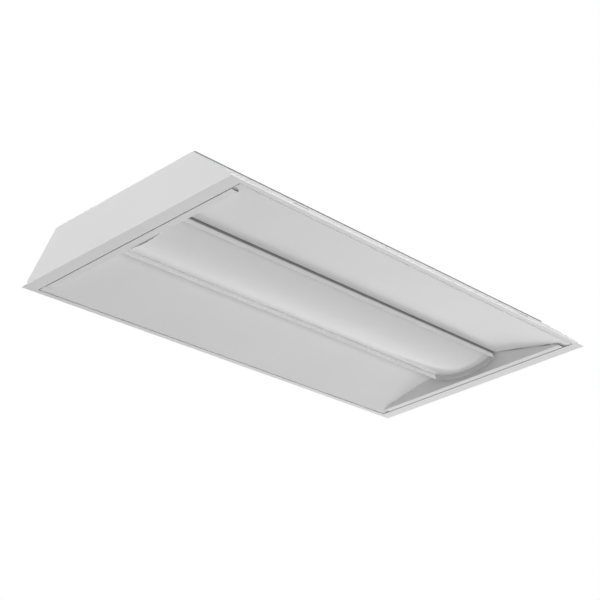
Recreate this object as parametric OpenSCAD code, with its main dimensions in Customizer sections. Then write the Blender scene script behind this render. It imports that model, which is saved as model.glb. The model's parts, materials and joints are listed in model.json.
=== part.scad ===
// Recessed troffer light for a suspended ceiling grid.
// Frame: X along the length, Y across, Z up. The origin is the centre of the
// ceiling plane, on which the underside of the flange rests.
// The housing stays in the ceiling. The reflector door with the lens hinges
// down about its edge on the +Y side.

/* [Overall] */
// Length over the ceiling flange
fixture_l = 1213; // [1150:1:1300]
// Width over the ceiling flange
fixture_w = 603; // [585:1:640]
// Height of the housing above the ceiling plane
housing_h = 100; // [96:1:130]

/* [Housing] */
// Thickness of the folded steel sheet
sheet_t = 0.8; // [0.6:0.1:1]
// Width of the flange along each long side
side_flange = 11.1; // [10.8:0.1:14]
// Width of the flange across each end
end_flange = 33.3; // [31:0.1:38]
// How far the upright lip stands in from the edge of the flange
lip_inset = 9.5; // [8.5:0.1:9.7]
// Height of the upright lip above the ceiling plane
lip_h = 12.5; // [11:0.5:16]
// How far each end plate stands in from the edge of the flange
plate_inset = 7.2; // [5:0.1:9]
// Width of the flat roof
roof_w = 400; // [390:1:430]
// Length of the tabs that the end plates turn in under the sheet
tab_l = 14; // [12:1:18]
// Size of the relief notch at the lower corners of the end plates
relief = 4.5; // [3:0.5:6]

/* [Door] */
// Open gap between the flange and the door
door_gap = 2.6; // [2.2:0.1:3.2]
// Outer radius of the rolled edge of the side panels
hem_r = 2.3; // [2.2:0.1:2.6]
// Radius of the hinge pins
pin_r = 1.2; // [1:0.05:1.3]
// Radial clearance of the hinge pins
pin_clear = 0.05; // [0.03:0.01:0.08]
// How far the side panels rise between the rolled edge and the lens collar
panel_rise = 40; // [32:0.5:42]
// How far the side panels bow above a straight line
panel_bow = 2; // [0:0.5:4]
// Height of the folded top edge round the lens opening
fold_top = 46; // [44:0.5:47]
// Width of the flat strip across each end of the door
strip_w = 19.6; // [16:0.1:24]
// How far the end strips stop short of the long edges
strip_stop = 21.8; // [18:0.1:28]
// How far the end panels lean in at the top
end_lean = 5; // [2:0.5:6]
// Width of the folded flanges that carry the lens collar
seat_w = 17.6; // [16:0.1:20]

/* [Lens and collar] */
// Width over the lens collar
collar_w = 177.6; // [170:0.2:184]
// Open crevice between the collar and the side panels
crevice = 1.6; // [1:0.1:2.4]
// Open crevice between the collar and the end panels at the top
end_crevice = 6.4; // [5:0.1:8]
// Height of the lowest point of the collar above the ceiling plane
collar_low = 5; // [3:0.5:8]
// Radius of the curved lower edge of the collar and of the lens
bow_r = 217; // [200:1:240]
// How far the lens sits above the lower edge of the collar
lens_reveal = 12; // [10:0.5:14]
// Thickness of the lens
lens_t = 2; // [1.5:0.1:2.4]
// Clearance between the lens and the collar
lens_clear = 0.3; // [0.2:0.1:0.6]
// Height of the folded hem on the lower edge of the rails
rail_hem = 3; // [2:0.5:4]

/* [Light engine] */
// Width of the roof of the light box
box_roof = 140; // [130:1:150]
// Width of the mouth of the light box
box_mouth = 186; // [180:1:192]
// Height of the mouth of the light box above the ceiling plane
box_foot = 52; // [51:0.5:56]
// How far the light box stops short of the end plates
box_end = 42.5; // [30:0.5:60]
// How far the LED boards stop short of the ends of the light box
board_end = 8; // [2:1:30]
// Width of one LED board
board_w = 22; // [18:1:26]
// Thickness of the LED boards
board_t = 1.6; // [1:0.1:2]
// Distance between the two rows of LED boards
row_gap = 70; // [60:1:76]
// Number of LEDs on one board
led_n = 28; // [12:1:36]
// Side of one LED package
led_w = 3.2; // [2.5:0.1:4]
// Height of one LED package
led_h = 0.8; // [0.6:0.1:1]

/* [Driver and wiring] */
// Length of the driver case
driver_l = 360; // [280:1:380]
// Width of the driver case
driver_w = 40; // [34:1:42]
// Height of the driver case
driver_h = 28; // [24:1:30]
// Distance of the driver from the centre line
driver_y = 148; // [146:1:150]
// Length of the wireway cover
cover_l = 740; // [700:1:800]
// Width of the wireway cover
cover_w = 72; // [70:1:76]
// Height of the inside of the wireway
cover_h = 38; // [36:1:38]
// Radius of the wires over their insulation
wire_r = 1.1; // [0.9:0.1:1.3]

/* [Roof fittings] */
// Length of the access plate
access_l = 116; // [108:1:130]
// Width of the access plate
access_w = 66; // [60:1:66]
// Place of the access plate along the housing
access_x = 360; // [330:1:380]
// Radius of the conduit knock-out
knockout_r = 11.1; // [10.8:0.1:11.4]
// Radius of the hanger wire holes
hanger_r = 2.5; // [2:0.1:3.5]
// Distance of the hanger holes from the end plates
hanger_end = 38.5; // [24:0.5:60]
// Distance of the hanger holes from the edge of the roof
hanger_side = 30; // [15:1:40]

/* [Grid clips and latches] */
// Distance from each grid clip to the middle of the housing
clip_x = 400; // [300:1:460]
// Distance of the clip pivots up the sloping wall
clip_s = 22; // [20:0.5:24]
// Length of the grid clips beyond their pivots
clip_l = 34; // [28:1:34]
// Width of the grid clips
clip_w = 12; // [10:1:14]
// Distance from each latch to the middle of the door
latch_x = 380; // [320:1:460]
// Travel of the slide latches
latch_travel = 12; // [10:0.5:13]

/* [Hidden] */

$fn = 48;
fit = 0.05;
run = 0.3;
far = 2000;

steel_white = "gainsboro";
steel_zinc = "silver";

// Half sizes and planes of the housing
hx = fixture_l / 2;
hy = fixture_w / 2;
lip_y = hy - lip_inset;
plate_x = hx - plate_inset;
pan_x = plate_x - sheet_t;
roof_y = roof_w / 2;
roof_in = housing_h - sheet_t;
wall_m = (housing_h - lip_h) / (lip_y - roof_y);
wall_a = atan(wall_m);
wall_k = sqrt(1 + wall_m * wall_m);

// Half sizes and planes of the door
door_x = hx - end_flange - door_gap;
door_y = hy - side_flange - door_gap;
hinge_y = door_y - hem_r;
hinge_z = hem_r;
pin_bore = pin_r + pin_clear;
rail_y = collar_w / 2;
rail_in = rail_y - sheet_t;
fold_y = rail_y + crevice;
seat_y = rail_y + seat_w + 1.8;
strip_x = door_x - strip_w;
fold_x = strip_x - end_lean;
collar_x = fold_x - end_crevice;
seat_x = fold_x + seat_w - 1.8;
collar_top = fold_top + sheet_t;
rivet_y = rail_y + 13.6;
rivet_x = collar_x + 17;

// Lens and collar
bow_z = collar_low + bow_r;
lens_low = collar_low + lens_reveal;
lens_y = rail_in - lens_clear;
lens_x = collar_x - sheet_t - lens_clear;
lens_flange = 8.4;

// Light engine
row_y = row_gap / 2;
box_x = pan_x - box_end;
board_top = roof_in - sheet_t;
board_low = board_top - board_t;
board_gap = 6;
board_l = box_x - board_end - board_gap / 2;
led_pitch = board_l / led_n;

// Driver and wireway
driver_x = driver_l / 2;
driver_low = roof_in - driver_h;
ear_l = 16;
base_t = 1;
cover_x0 = -driver_x - 80;
cover_low = roof_in - cover_h;
cover_y0 = driver_y - cover_w / 2;
cover_y1 = driver_y + cover_w / 2;
cover_tab = 11;

// Height of the lower face of a side panel at a distance y from the centre
function panel_s(y) = (hinge_y - y) / (hinge_y - fold_y);
function panel_z(y) = panel_rise * panel_s(y) + 4 * panel_bow * panel_s(y) * (1 - panel_s(y));

// Height of the lower edge of the collar at a distance y from the centre
function bow_at(y) = bow_z - sqrt(bow_r * bow_r - y * y);

// Half outline of the housing, set in by d
function wall_half(d) = [
    [lip_y - d, d > 0 ? -far : 0],
    [lip_y - d, lip_h + d * wall_m - d * wall_k],
    [lip_y - (housing_h - d - lip_h + d * wall_k) / wall_m, housing_h - d]
];

// Whole outline from a half outline
function both(half) = concat(half, [for (i = [len(half) - 1 : -1 : 0]) [-half[i][0], half[i][1]]]);

// Draws a YZ outline and runs it along X between two places
module along_x(x0, x1) {
    translate([x0, 0, 0])
        rotate([90, 0, 90])
            linear_extrude(x1 - x0)
                children();
}

// Draws an XZ outline and runs it along Y between two places
module along_y(y0, y1) {
    translate([0, y1, 0])
        rotate([90, 0, 0])
            linear_extrude(y1 - y0)
                children();
}

// A box between two corners
module block(a, b) {
    translate(a)
        cube(b - a);
}

// Puts a child at both ends of the length
module both_x() {
    children();
    mirror([1, 0, 0])
        children();
}

// Puts a child at both sides of the width
module both_y() {
    children();
    mirror([0, 1, 0])
        children();
}

// Turns a child with its Z axis out of the sloping wall, a distance s up from the lip
module on_wall(x, s, side) {
    mirror([0, side < 0 ? 1 : 0, 0])
        translate([x, lip_y - s * cos(wall_a), lip_h + s * sin(wall_a)])
            rotate([-wall_a, 0, 0])
                children();
}

// A screw driven up, with its head below z and its shank up to the top
module screw_up(p, r, head_r, head_h, top) {
    translate([p[0], p[1], p[2] - head_h])
        cylinder(h = head_h, r = head_r);
    translate(p)
        cylinder(h = top - p[2], r = r);
}

// A hole upward through everything from z0 to z1
module hole(p, r, z0, z1) {
    translate([p[0], p[1], z0])
        cylinder(h = z1 - z0, r = r);
}

// Places that pieces and their holes share
tray_screw_end = 56;
tray_screw_side = 10;
tray_screw_at = [for (f = [-1, -0.5, 0, 0.5, 1]) for (s = [-1, 1])
    [f * (box_x - tray_screw_end), s * (box_roof / 2 - tray_screw_side)]];
tray_screw_r = 2;
box_tab = 12;
box_tab_at = [for (s = [-1, 1]) for (y = [-row_y, row_y]) [s * (box_x + box_tab / 2), y]];
board_at = [[-1, -1], [1, -1], [-1, 1], [1, 1]];
board_screw_r = 1.5;
function board_mid(b) = b[0] * (board_l + board_gap) / 2;
board_screw_x = [for (f = [-0.4, 0, 0.4]) led_pitch * round(f * led_n)];
driver_screw_at = [for (s = [-1, 1]) [s * (driver_x + ear_l / 2), -driver_y]];
driver_screw_r = 2;
cover_screw_at = [for (f = [0.06, 0.5, 0.94]) for (y = [cover_y0 - cover_tab / 2, cover_y1 + cover_tab / 2])
    [cover_x0 + f * cover_l, -y]];
cover_screw_r = 1.75;
ground_at = [driver_x + 50, -driver_y + 24];
ground_r = 2;
hanger_at = [for (sx = [-1, 1]) for (sy = [-1, 1]) [sx * (pan_x - hanger_end), sy * (roof_y - hanger_side)]];
access_y = -driver_y;
pivot_at = [access_x - access_l / 2 + 8, access_y + access_w / 2 - 8];
lock_at = [access_x + access_l / 2 - 8, access_y - access_w / 2 + 8];
pivot_r = 2.5;
lock_r = 2;
access_t = 1;
swing_r = norm(lock_at - pivot_at);
access_z = housing_h + run;
knockout_x = access_x + 24;
slug_x = access_x - 18;
rivet_r = 1.6;
corner_rivet_s = [34, 92];
clip_t = 0.8;
clip_rivet_r = 2;
clip_at = [[-1, -1], [1, -1], [-1, 1], [1, 1]];

// Housing

module pan_outline() {
    difference() {
        polygon(both(wall_half(0)));
        polygon(both(wall_half(sheet_t)));
    }
}

module housing_pan() {
    color(steel_white)
        difference() {
            union() {
                difference() {
                    along_x(-pan_x, pan_x)
                        pan_outline();
                    both_x()
                        block([hx - end_flange, -far, -1], [far, far, sheet_t]);
                }
                both_y()
                    block([-hx + end_flange, hy - side_flange, 0], [hx - end_flange, hy, sheet_t]);
            }
            for (p = concat(tray_screw_at, box_tab_at))
                hole(p, tray_screw_r + fit, roof_in - 1, housing_h + 1);
            for (p = driver_screw_at)
                hole(p, driver_screw_r + fit, roof_in - 1, housing_h + 1);
            for (p = cover_screw_at)
                hole(p, cover_screw_r + fit, roof_in - 1, housing_h + 1);
            hole(ground_at, ground_r + fit, roof_in - 1, housing_h + 1);
            for (p = hanger_at)
                hole(p, hanger_r, roof_in - 1, housing_h + 1);
            hole(pivot_at, pivot_r + fit, roof_in - 1, housing_h + 1);
            hole(lock_at, lock_r + fit, roof_in - 1, housing_h + 1);
            block([access_x - access_l / 2 + 16, access_y - access_w / 2 + 7, roof_in - 1],
                  [access_x + access_l / 2 - 16, access_y + access_w / 2 - 7, housing_h + 1]);
            for (end = [-1, 1])
                for (side = [-1, 1])
                    for (s = corner_rivet_s)
                        on_wall(end * (pan_x - tab_l / 2), s, side)
                            translate([0, 0, -2])
                                cylinder(h = 4, r = rivet_r + fit);
            for (c = clip_at)
                on_wall(c[0] * clip_x, clip_s, c[1])
                    translate([0, 0, -2])
                        cylinder(h = 4, r = clip_rivet_r + fit);
        }
}

// End plate with its ceiling flange and the tabs under the pan, at the +X end
module end_plate() {
    color(steel_white)
        difference() {
            union() {
                along_x(pan_x, plate_x)
                    polygon(both(wall_half(0)));
                block([hx - end_flange, -hy, 0], [hx, hy, sheet_t]);
                along_x(pan_x - tab_l, pan_x + sheet_t / 2)
                    intersection() {
                        difference() {
                            polygon(both(wall_half(sheet_t)));
                            polygon(both(wall_half(2 * sheet_t)));
                        }
                        translate([-far, lip_h + 6])
                            square([2 * far, far]);
                    }
            }
            for (side = [-1, 1])
                for (s = corner_rivet_s)
                    on_wall(pan_x - tab_l / 2, s, side)
                        translate([0, 0, -4])
                            cylinder(h = 4, r = rivet_r + fit);
            both_y()
                block([pan_x - 1, lip_y - relief, sheet_t], [plate_x + 1, hy, sheet_t + relief]);
        }
}

module end_plate_right() {
    end_plate();
}

module end_plate_left() {
    mirror([1, 0, 0])
        end_plate();
}

module corner_rivets() {
    color(steel_zinc)
        for (end = [-1, 1])
            for (side = [-1, 1])
                for (s = corner_rivet_s)
                    on_wall(end * (pan_x - tab_l / 2), s, side) {
                        cylinder(h = 1, r = 3);
                        translate([0, 0, -2 * sheet_t])
                            cylinder(h = 2 * sheet_t, r = rivet_r);
                        translate([0, 0, -2 * sheet_t - 1])
                            cylinder(h = 1, r = 2.6);
                    }
}

// Light box above the lens

box_wall_a = atan((roof_in - box_foot) / ((box_mouth - box_roof) / 2));
box_shift = sheet_t / sin(box_wall_a);
foot_w = 10;

module box_outline() {
    polygon(both([[box_mouth / 2, box_foot], [box_roof / 2, roof_in]]));
}

module box_inside() {
    slant = sheet_t / tan(box_wall_a);
    polygon(both([
        [box_mouth / 2 - box_shift, -far],
        [box_mouth / 2 - box_shift, box_foot],
        [box_roof / 2 - box_shift + slant, board_top]
    ]));
}

module light_box() {
    color("white")
        difference() {
            union() {
                along_x(-box_x, box_x)
                    difference() {
                        box_outline();
                        box_inside();
                    }
                both_y()
                    block([-box_x, box_mouth / 2 - box_shift, box_foot], [box_x, box_mouth / 2 + foot_w, box_foot + sheet_t]);
            }
            for (p = tray_screw_at)
                hole(p, tray_screw_r + fit, board_top - 1, roof_in + 1);
            for (b = board_at)
                for (x = board_screw_x)
                    hole([board_mid(b) + x, b[1] * row_y], board_screw_r + fit, board_top - 1, roof_in + 1);
            on_box_wall()
                translate([0, 0, -5])
                    cylinder(h = 10, r = grommet_r);
        }
}

// Closing plate of the light box, at the +X end
module light_box_end() {
    color("white")
        union() {
            along_x(box_x, box_x + sheet_t)
                box_outline();
            difference() {
                block([box_x, -box_roof / 2 + 6, board_top], [box_x + box_tab, box_roof / 2 - 6, roof_in]);
                for (y = [-row_y, row_y])
                    hole([box_x + box_tab / 2, y], tray_screw_r + fit, board_top - 1, roof_in + 1);
            }
        }
}

module light_box_end_right() {
    light_box_end();
}

module light_box_end_left() {
    mirror([1, 0, 0])
        light_box_end();
}

module light_box_screws() {
    color(steel_zinc)
        for (p = concat(tray_screw_at, box_tab_at))
            screw_up([p[0], p[1], board_top], tray_screw_r, 3.5, 1.6, housing_h + 1);
}

module led_board(i) {
    b = board_at[i];
    color("white")
        difference() {
            block([board_mid(b) - board_l / 2, b[1] * row_y - board_w / 2, board_low],
                  [board_mid(b) + board_l / 2, b[1] * row_y + board_w / 2, board_top]);
            for (x = board_screw_x)
                hole([board_mid(b) + x, b[1] * row_y], board_screw_r + fit, board_low - 1, board_top + 1);
        }
}

module led_board_1() {
    led_board(0);
}

module led_board_2() {
    led_board(1);
}

module led_board_3() {
    led_board(2);
}

module led_board_4() {
    led_board(3);
}

module led_packages() {
    color("khaki")
        for (b = board_at)
            for (i = [0 : led_n - 1])
                translate([board_mid(b) + (i + 0.5 - led_n / 2) * led_pitch, b[1] * row_y, board_low - led_h / 2])
                    cube([led_w, led_w, led_h], center = true);
}

module board_screws() {
    color(steel_zinc)
        for (b = board_at)
            for (x = board_screw_x)
                screw_up([board_mid(b) + x, b[1] * row_y, board_low], board_screw_r, 2.8, 1.4, roof_in);
}

connector_w = 7;
connector_h = 4;
connector_x = 9;
jumper_x = 2.4;

// One joiner links the two boards of each row
module board_connectors() {
    color("ivory")
        both_y()
            block([-connector_x, row_y - connector_w / 2, board_low - connector_h],
                  [connector_x, row_y + connector_w / 2, board_low]);
}

// Straight wires carry the supply from the near row to the far row
module jumper_wires() {
    jumper_y = row_y - connector_w / 2;
    color("red")
        for (x = [-jumper_x, jumper_x])
            translate([x, jumper_y, board_low - connector_h / 2])
                rotate([90, 0, 0])
                    cylinder(h = 2 * jumper_y, r = wire_r);
}

// Driver

module driver_base() {
    color(steel_zinc)
        difference() {
            block([-driver_x - ear_l, -driver_y - driver_w / 2 + 1, roof_in - base_t],
                  [driver_x + ear_l, -driver_y + driver_w / 2 - 1, roof_in]);
            for (p = driver_screw_at)
                hole(p, driver_screw_r + fit, roof_in - base_t - 1, roof_in + 1);
        }
}

module driver_case() {
    color("whitesmoke")
        along_x(-driver_x, driver_x)
            translate([-driver_y, roof_in - base_t - (driver_h - base_t) / 2])
                rounded(driver_w, driver_h - base_t, 2);
}

// A rectangle with rounded corners, centred
module rounded(w, h, r) {
    union() {
        square([w - 2 * r, h], center = true);
        square([w, h - 2 * r], center = true);
        for (sx = [-1, 1])
            for (sy = [-1, 1])
                translate([sx * (w / 2 - r), sy * (h / 2 - r)])
                    circle(r);
    }
}

terminal_l = 12;
terminal_gap = 6;
terminal_z = roof_in - base_t - 14;

module driver_terminals() {
    color("dimgray")
        both_x()
            difference() {
                block([driver_x, -driver_y - 13, terminal_z - 5], [driver_x + terminal_l, -driver_y + 13, terminal_z + 5]);
                for (s = [-1, 1])
                    translate([driver_x + 4, -driver_y + s * terminal_gap, terminal_z])
                        rotate([0, 90, 0])
                            cylinder(h = terminal_l, r = wire_r + fit);
            }
}

module driver_screws() {
    color(steel_zinc)
        for (p = driver_screw_at)
            screw_up([p[0], p[1], roof_in - base_t], driver_screw_r, 3.8, 1.8, housing_h + 1);
}

// Wireway

module wireway_cover() {
    color(steel_white)
        difference() {
            union() {
                block([cover_x0, -cover_y1, cover_low], [cover_x0 + cover_l, -cover_y0, cover_low + sheet_t]);
                for (y = [-cover_y1, -cover_y0 - sheet_t])
                    block([cover_x0, y, cover_low], [cover_x0 + cover_l, y + sheet_t, roof_in]);
                block([cover_x0, -cover_y1 - cover_tab, roof_in - sheet_t],
                      [cover_x0 + cover_l, -cover_y1 + sheet_t, roof_in]);
                block([cover_x0, -cover_y0 - sheet_t, roof_in - sheet_t],
                      [cover_x0 + cover_l, -cover_y0 + cover_tab, roof_in]);
            }
            for (p = cover_screw_at)
                hole(p, cover_screw_r + fit, roof_in - sheet_t - 1, roof_in + 1);
            block([grommet_x - gate_w / 2, -cover_y0 - 2, grommet_z - 12],
                  [grommet_x + gate_w / 2, -cover_y0 + 2, grommet_z + 8]);
        }
}

module cover_screws() {
    color(steel_zinc)
        for (p = cover_screw_at)
            screw_up([p[0], p[1], roof_in - sheet_t], cover_screw_r, 3.2, 1.6, housing_h + 1);
}

// The two halves of the quick disconnect lie on the floor of the wireway
plug_x = driver_x + 120;
plug_w = 22;
plug_h = 10;
plug_l = 20;
plug_nose = 7;
plug_z = cover_low + sheet_t;

module quick_disconnect_socket() {
    color("orange")
        difference() {
            block([plug_x - plug_l, -driver_y - plug_w / 2, plug_z], [plug_x, -driver_y + plug_w / 2, plug_z + plug_h]);
            block([plug_x - plug_nose - run, -driver_y - plug_w / 2 + 2, plug_z + 2],
                  [plug_x + 1, -driver_y + plug_w / 2 - 2, plug_z + plug_h - 2]);
            for (s = [-1, 0, 1])
                translate([plug_x - plug_l - 1, -driver_y + s * 6, plug_z + plug_h / 2])
                    rotate([0, 90, 0])
                        cylinder(h = 8, r = wire_r + fit);
        }
}

module quick_disconnect_plug() {
    color("orange")
        difference() {
            union() {
                block([plug_x, -driver_y - plug_w / 2, plug_z], [plug_x + plug_l, -driver_y + plug_w / 2, plug_z + plug_h]);
                block([plug_x - plug_nose, -driver_y - plug_w / 2 + 2 + run, plug_z + 2 + run],
                      [plug_x + 1, -driver_y + plug_w / 2 - 2 - run, plug_z + plug_h - 2 - run]);
            }
            for (s = [-1, 0, 1])
                translate([plug_x + plug_l - 9, -driver_y + s * 6, plug_z + plug_h / 2])
                    rotate([0, 90, 0])
                        cylinder(h = 10, r = wire_r + fit);
        }
}

// Wires. Each follows a smooth curve through points that are kept as they are

// A point on the smooth curve through p1 and p2
function spline(p0, p1, p2, p3, u) =
    0.5 * (2 * p1 + (p2 - p0) * u + (2 * p0 - 5 * p1 + 4 * p2 - p3) * u * u
    + (3 * p1 - p0 - 3 * p2 + p3) * u * u * u);

function smooth(p, n) = concat(
    [for (i = [0 : len(p) - 2])
        for (j = [0 : n - 1])
            spline(p[max(i - 1, 0)], p[i], p[i + 1], p[min(i + 2, len(p) - 1)], j / n)],
    [p[len(p) - 1]]);

function unit(v) = v / norm(v);
function heading(c, i) = unit(c[min(i + 1, len(c) - 1)] - c[max(i - 1, 0)]);

// A round tube of radius r along the points c, with n sides
module tube(c, r, n) {
    rings = [for (i = [0 : len(c) - 1])
        let (t = heading(c, i), u = unit(cross(t, [0, 0.2, 1])), v = cross(t, u))
            [for (k = [0 : n - 1]) c[i] + r * (cos(360 * k / n) * u + sin(360 * k / n) * v)]];
    last = len(c) - 1;
    polyhedron(
        points = [for (ring = rings) for (q = ring) q],
        faces = concat(
            [[for (k = [0 : n - 1]) k]],
            [[for (k = [n - 1 : -1 : 0]) last * n + k]],
            [for (i = [0 : last - 1])
                for (k = [0 : n - 1])
                    for (f = [0, 1])
                        f == 0
                            ? [i * n + k, (i + 1) * n + k, i * n + (k + 1) % n]
                            : [i * n + (k + 1) % n, (i + 1) * n + k, (i + 1) * n + (k + 1) % n]]));
}

wire_sides = 8;
socket_end = plug_x - plug_l + 6;

module line_wires() {
    color("black")
        for (s = [-1, 1])
            tube(smooth([
                [driver_x + 5, -driver_y + s * terminal_gap, terminal_z],
                [driver_x + 13, -driver_y + s * terminal_gap, terminal_z],
                [driver_x + 19, -driver_y + s * terminal_gap, terminal_z],
                [driver_x + 36, -driver_y + s * 5.5, terminal_z - 4],
                [plug_x - plug_l - 38, -driver_y - 2 + s * 4, plug_z + plug_h / 2 + 3],
                [plug_x - plug_l - 14, -driver_y - 3 + s * 3, plug_z + plug_h / 2],
                [plug_x - plug_l - 6, -driver_y - 3 + s * 3, plug_z + plug_h / 2],
                [socket_end, -driver_y - 3 + s * 3, plug_z + plug_h / 2]
            ], 4), wire_r, wire_sides);
}

ring_t = 0.8;
ring_z = roof_in - ring_t;

module ground_wire() {
    color("green")
        union() {
            difference() {
                union() {
                    hole(ground_at, 4, ring_z, roof_in);
                    block([ground_at[0] + 2, ground_at[1] - 2, ring_z], [ground_at[0] + 9, ground_at[1] + 2, roof_in]);
                }
                hole(ground_at, ground_r + fit, ring_z - 1, roof_in + 1);
            }
            tube(smooth([
                [ground_at[0] + 7, ground_at[1], ring_z - wire_r + 0.5],
                [ground_at[0] + 14, ground_at[1], ring_z - wire_r],
                [ground_at[0] + 24, ground_at[1] - 4, ring_z - 8],
                [ground_at[0] + 30, ground_at[1] - 12, plug_z + plug_h / 2 + 8],
                [plug_x - plug_l - 12, -driver_y + 6, plug_z + plug_h / 2],
                [plug_x - plug_l - 5, -driver_y + 6, plug_z + plug_h / 2],
                [socket_end, -driver_y + 6, plug_z + plug_h / 2]
            ], 4), wire_r, wire_sides);
        }
}

module ground_screw() {
    color("green")
        screw_up([ground_at[0], ground_at[1], ring_z], ground_r, 3.6, 2, housing_h + 1);
}

grommet_x = cover_x0 + 30;
gate_w = 28;
grommet_r = 6;
grommet_wall = 1.6;
grommet_z = roof_in - 18;
grommet_y = box_roof / 2 + (roof_in - grommet_z) / tan(box_wall_a);

// Turns a child with its Z axis out of the near wall of the light box
module on_box_wall() {
    translate([grommet_x, -grommet_y, grommet_z])
        rotate([box_wall_a, 0, 0])
            children();
}

module wire_grommet() {
    color("black")
        on_box_wall()
            difference() {
                union() {
                    translate([0, 0, -sheet_t - 1])
                        cylinder(h = sheet_t + 2, r = grommet_r - fit);
                    cylinder(h = 2, r = grommet_r + 2);
                    translate([0, 0, -sheet_t - 2])
                        cylinder(h = 2, r = grommet_r + 2);
                }
                translate([0, 0, -6])
                    cylinder(h = 12, r = grommet_r - grommet_wall);
            }
}

saddle_x = [grommet_x + 80, grommet_x + 160];
run_y = row_y + board_w / 2 + 7;
run_z = board_top - 3.2;

module led_wires() {
    color("red")
        for (s = [-1, 1])
            tube(smooth([
                [-driver_x - 5, -driver_y + s * terminal_gap, terminal_z],
                [-driver_x - 13, -driver_y + s * terminal_gap, terminal_z],
                [-driver_x - 21, -driver_y + s * terminal_gap, terminal_z],
                [-driver_x - 33, -driver_y + 2 + s * terminal_gap, terminal_z],
                [grommet_x + 4 + s * 1.6, -driver_y + 12 + s * 4, terminal_z - 1],
                [grommet_x + s * 2, -driver_y + 27, grommet_z + 1],
                [grommet_x + s * 2, -grommet_y - 18, grommet_z + 4],
                [grommet_x + s * 2, -grommet_y - 7.2, grommet_z + 3.5],
                [grommet_x + s * 2, -grommet_y, grommet_z],
                [grommet_x + s * 2, -grommet_y + 7.2, grommet_z - 3.5],
                [grommet_x + 12 + s * 1.6, -run_y - 6 - s * 1.6, run_z - 8],
                [grommet_x + 40, -run_y - s * 1.4, run_z],
                [saddle_x[0], -run_y - s * 1.4, run_z],
                [saddle_x[1], -run_y - s * 1.4, run_z],
                [s * 2 - 42, -run_y - s * 1.4, run_z],
                [s * 2 - 27, -row_y - 5 - s * 1.6, board_low - connector_h / 2 - 0.6],
                [-connector_x - 8, -row_y - s * 1.6, board_low - connector_h / 2],
                [-connector_x - 4, -row_y - s * 1.6, board_low - connector_h / 2],
                [-connector_x, -row_y - s * 1.6, board_low - connector_h / 2]
            ], 4), wire_r, wire_sides);
}

module wire_saddles() {
    color("white")
        for (x = saddle_x)
            difference() {
                block([x - 3, -run_y - 5, run_z - 2.4], [x + 3, -run_y + 5, board_top]);
                block([x - 4, -run_y - 1.4 - wire_r - fit, run_z - wire_r - fit],
                      [x + 4, -run_y + 1.4 + wire_r + fit, run_z + wire_r + fit]);
            }
}

// Roof fittings

module access_plate() {
    color(steel_zinc)
        difference() {
            block([access_x - access_l / 2, access_y - access_w / 2, access_z],
                  [access_x + access_l / 2, access_y + access_w / 2, access_z + access_t]);
            hole(pivot_at, pivot_r + fit, access_z - 1, access_z + access_t + 1);
            hole([knockout_x, access_y], knockout_r, access_z - 1, access_z + access_t + 1);
            hole([slug_x, access_y], knockout_r, access_z - 1, access_z + access_t + 1);
            hole(lock_at, lock_r + run, access_z - 1, access_z + access_t + 1);
            translate([pivot_at[0], pivot_at[1], access_z - 1])
                linear_extrude(access_t + 2)
                    intersection() {
                        difference() {
                            circle(swing_r + lock_r + run, $fn = 180);
                            circle(swing_r - lock_r - run, $fn = 180);
                        }
                        polygon([[0, 0], far * unit(lock_at - pivot_at), [0, -far]]);
                    }
        }
}

module knockout_slug() {
    color(steel_zinc)
        difference() {
            hole([slug_x, access_y], knockout_r - fit, access_z, access_z + access_t);
            block([slug_x - 5, access_y - 0.6, access_z + access_t - 0.3],
                  [slug_x + 5, access_y + 0.6, access_z + access_t + 1]);
        }
}

module access_pivot_rivet() {
    color(steel_zinc)
        union() {
            hole(pivot_at, pivot_r, roof_in, access_z + access_t + run);
            hole(pivot_at, 4.5, access_z + access_t + run, access_z + access_t + run + 1);
            hole(pivot_at, 4, roof_in - 1, roof_in);
        }
}

module access_screw() {
    color(steel_zinc)
        union() {
            hole(lock_at, lock_r, roof_in - 3, access_z + access_t + run);
            difference() {
                hole(lock_at, 4, access_z + access_t + run, access_z + access_t + run + 1.6);
                block([lock_at[0] - 5, lock_at[1] - 0.5, access_z + access_t + run + 0.8],
                      [lock_at[0] + 5, lock_at[1] + 0.5, access_z + access_t + run + 3]);
            }
        }
}

// Hinge, latch and clip fittings on the housing

bracket_t = 2.6;
bracket_x = hx - end_flange + 0.6;

module hinge_brackets() {
    color(steel_zinc)
        both_x()
            difference() {
                union() {
                    block([bracket_x, hinge_y - 4, sheet_t], [bracket_x + bracket_t, lip_y - sheet_t, hinge_z + 4]);
                    block([bracket_x, hinge_y - 4, sheet_t], [bracket_x + 12, hinge_y - 1.5, sheet_t + 1]);
                }
                translate([bracket_x - 1, hinge_y, hinge_z])
                    rotate([0, 90, 0])
                        cylinder(h = bracket_t + 2, r = pin_bore);
            }
}

// Slide latches run along X on the near edge of the door. The tongue passes over a keeper
keeper_z = 2 * hem_r + run;
keeper_t = 0.8;
keeper_l = 14;
keeper_y = door_y - 1.2;
tongue_z = keeper_z + keeper_t + run;
tongue_t = 1.2;
tongue_l = 10;
slide_l = 72;
slide_y0 = door_y - 14;
slide_y1 = door_y - 7;
finger_t = 1.2;
finger_l = 8;
finger_x = -14;
finger_y = door_y + (door_gap - finger_t) / 2;
keeper_x = tongue_l + 1;

module latch_keepers() {
    color(steel_zinc)
        for (x = [-latch_x, latch_x])
            block([x + keeper_x, -lip_y + sheet_t, keeper_z], [x + keeper_x + keeper_l, -keeper_y, keeper_z + keeper_t]);
}

// Each guide is a loop round the slide, and stands on the side panel
guide_w = 6;
guide_x = [-22, 26];
guide_y0 = slide_y0 - run - 2;
guide_y1 = slide_y1 + run + 1.5;

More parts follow.
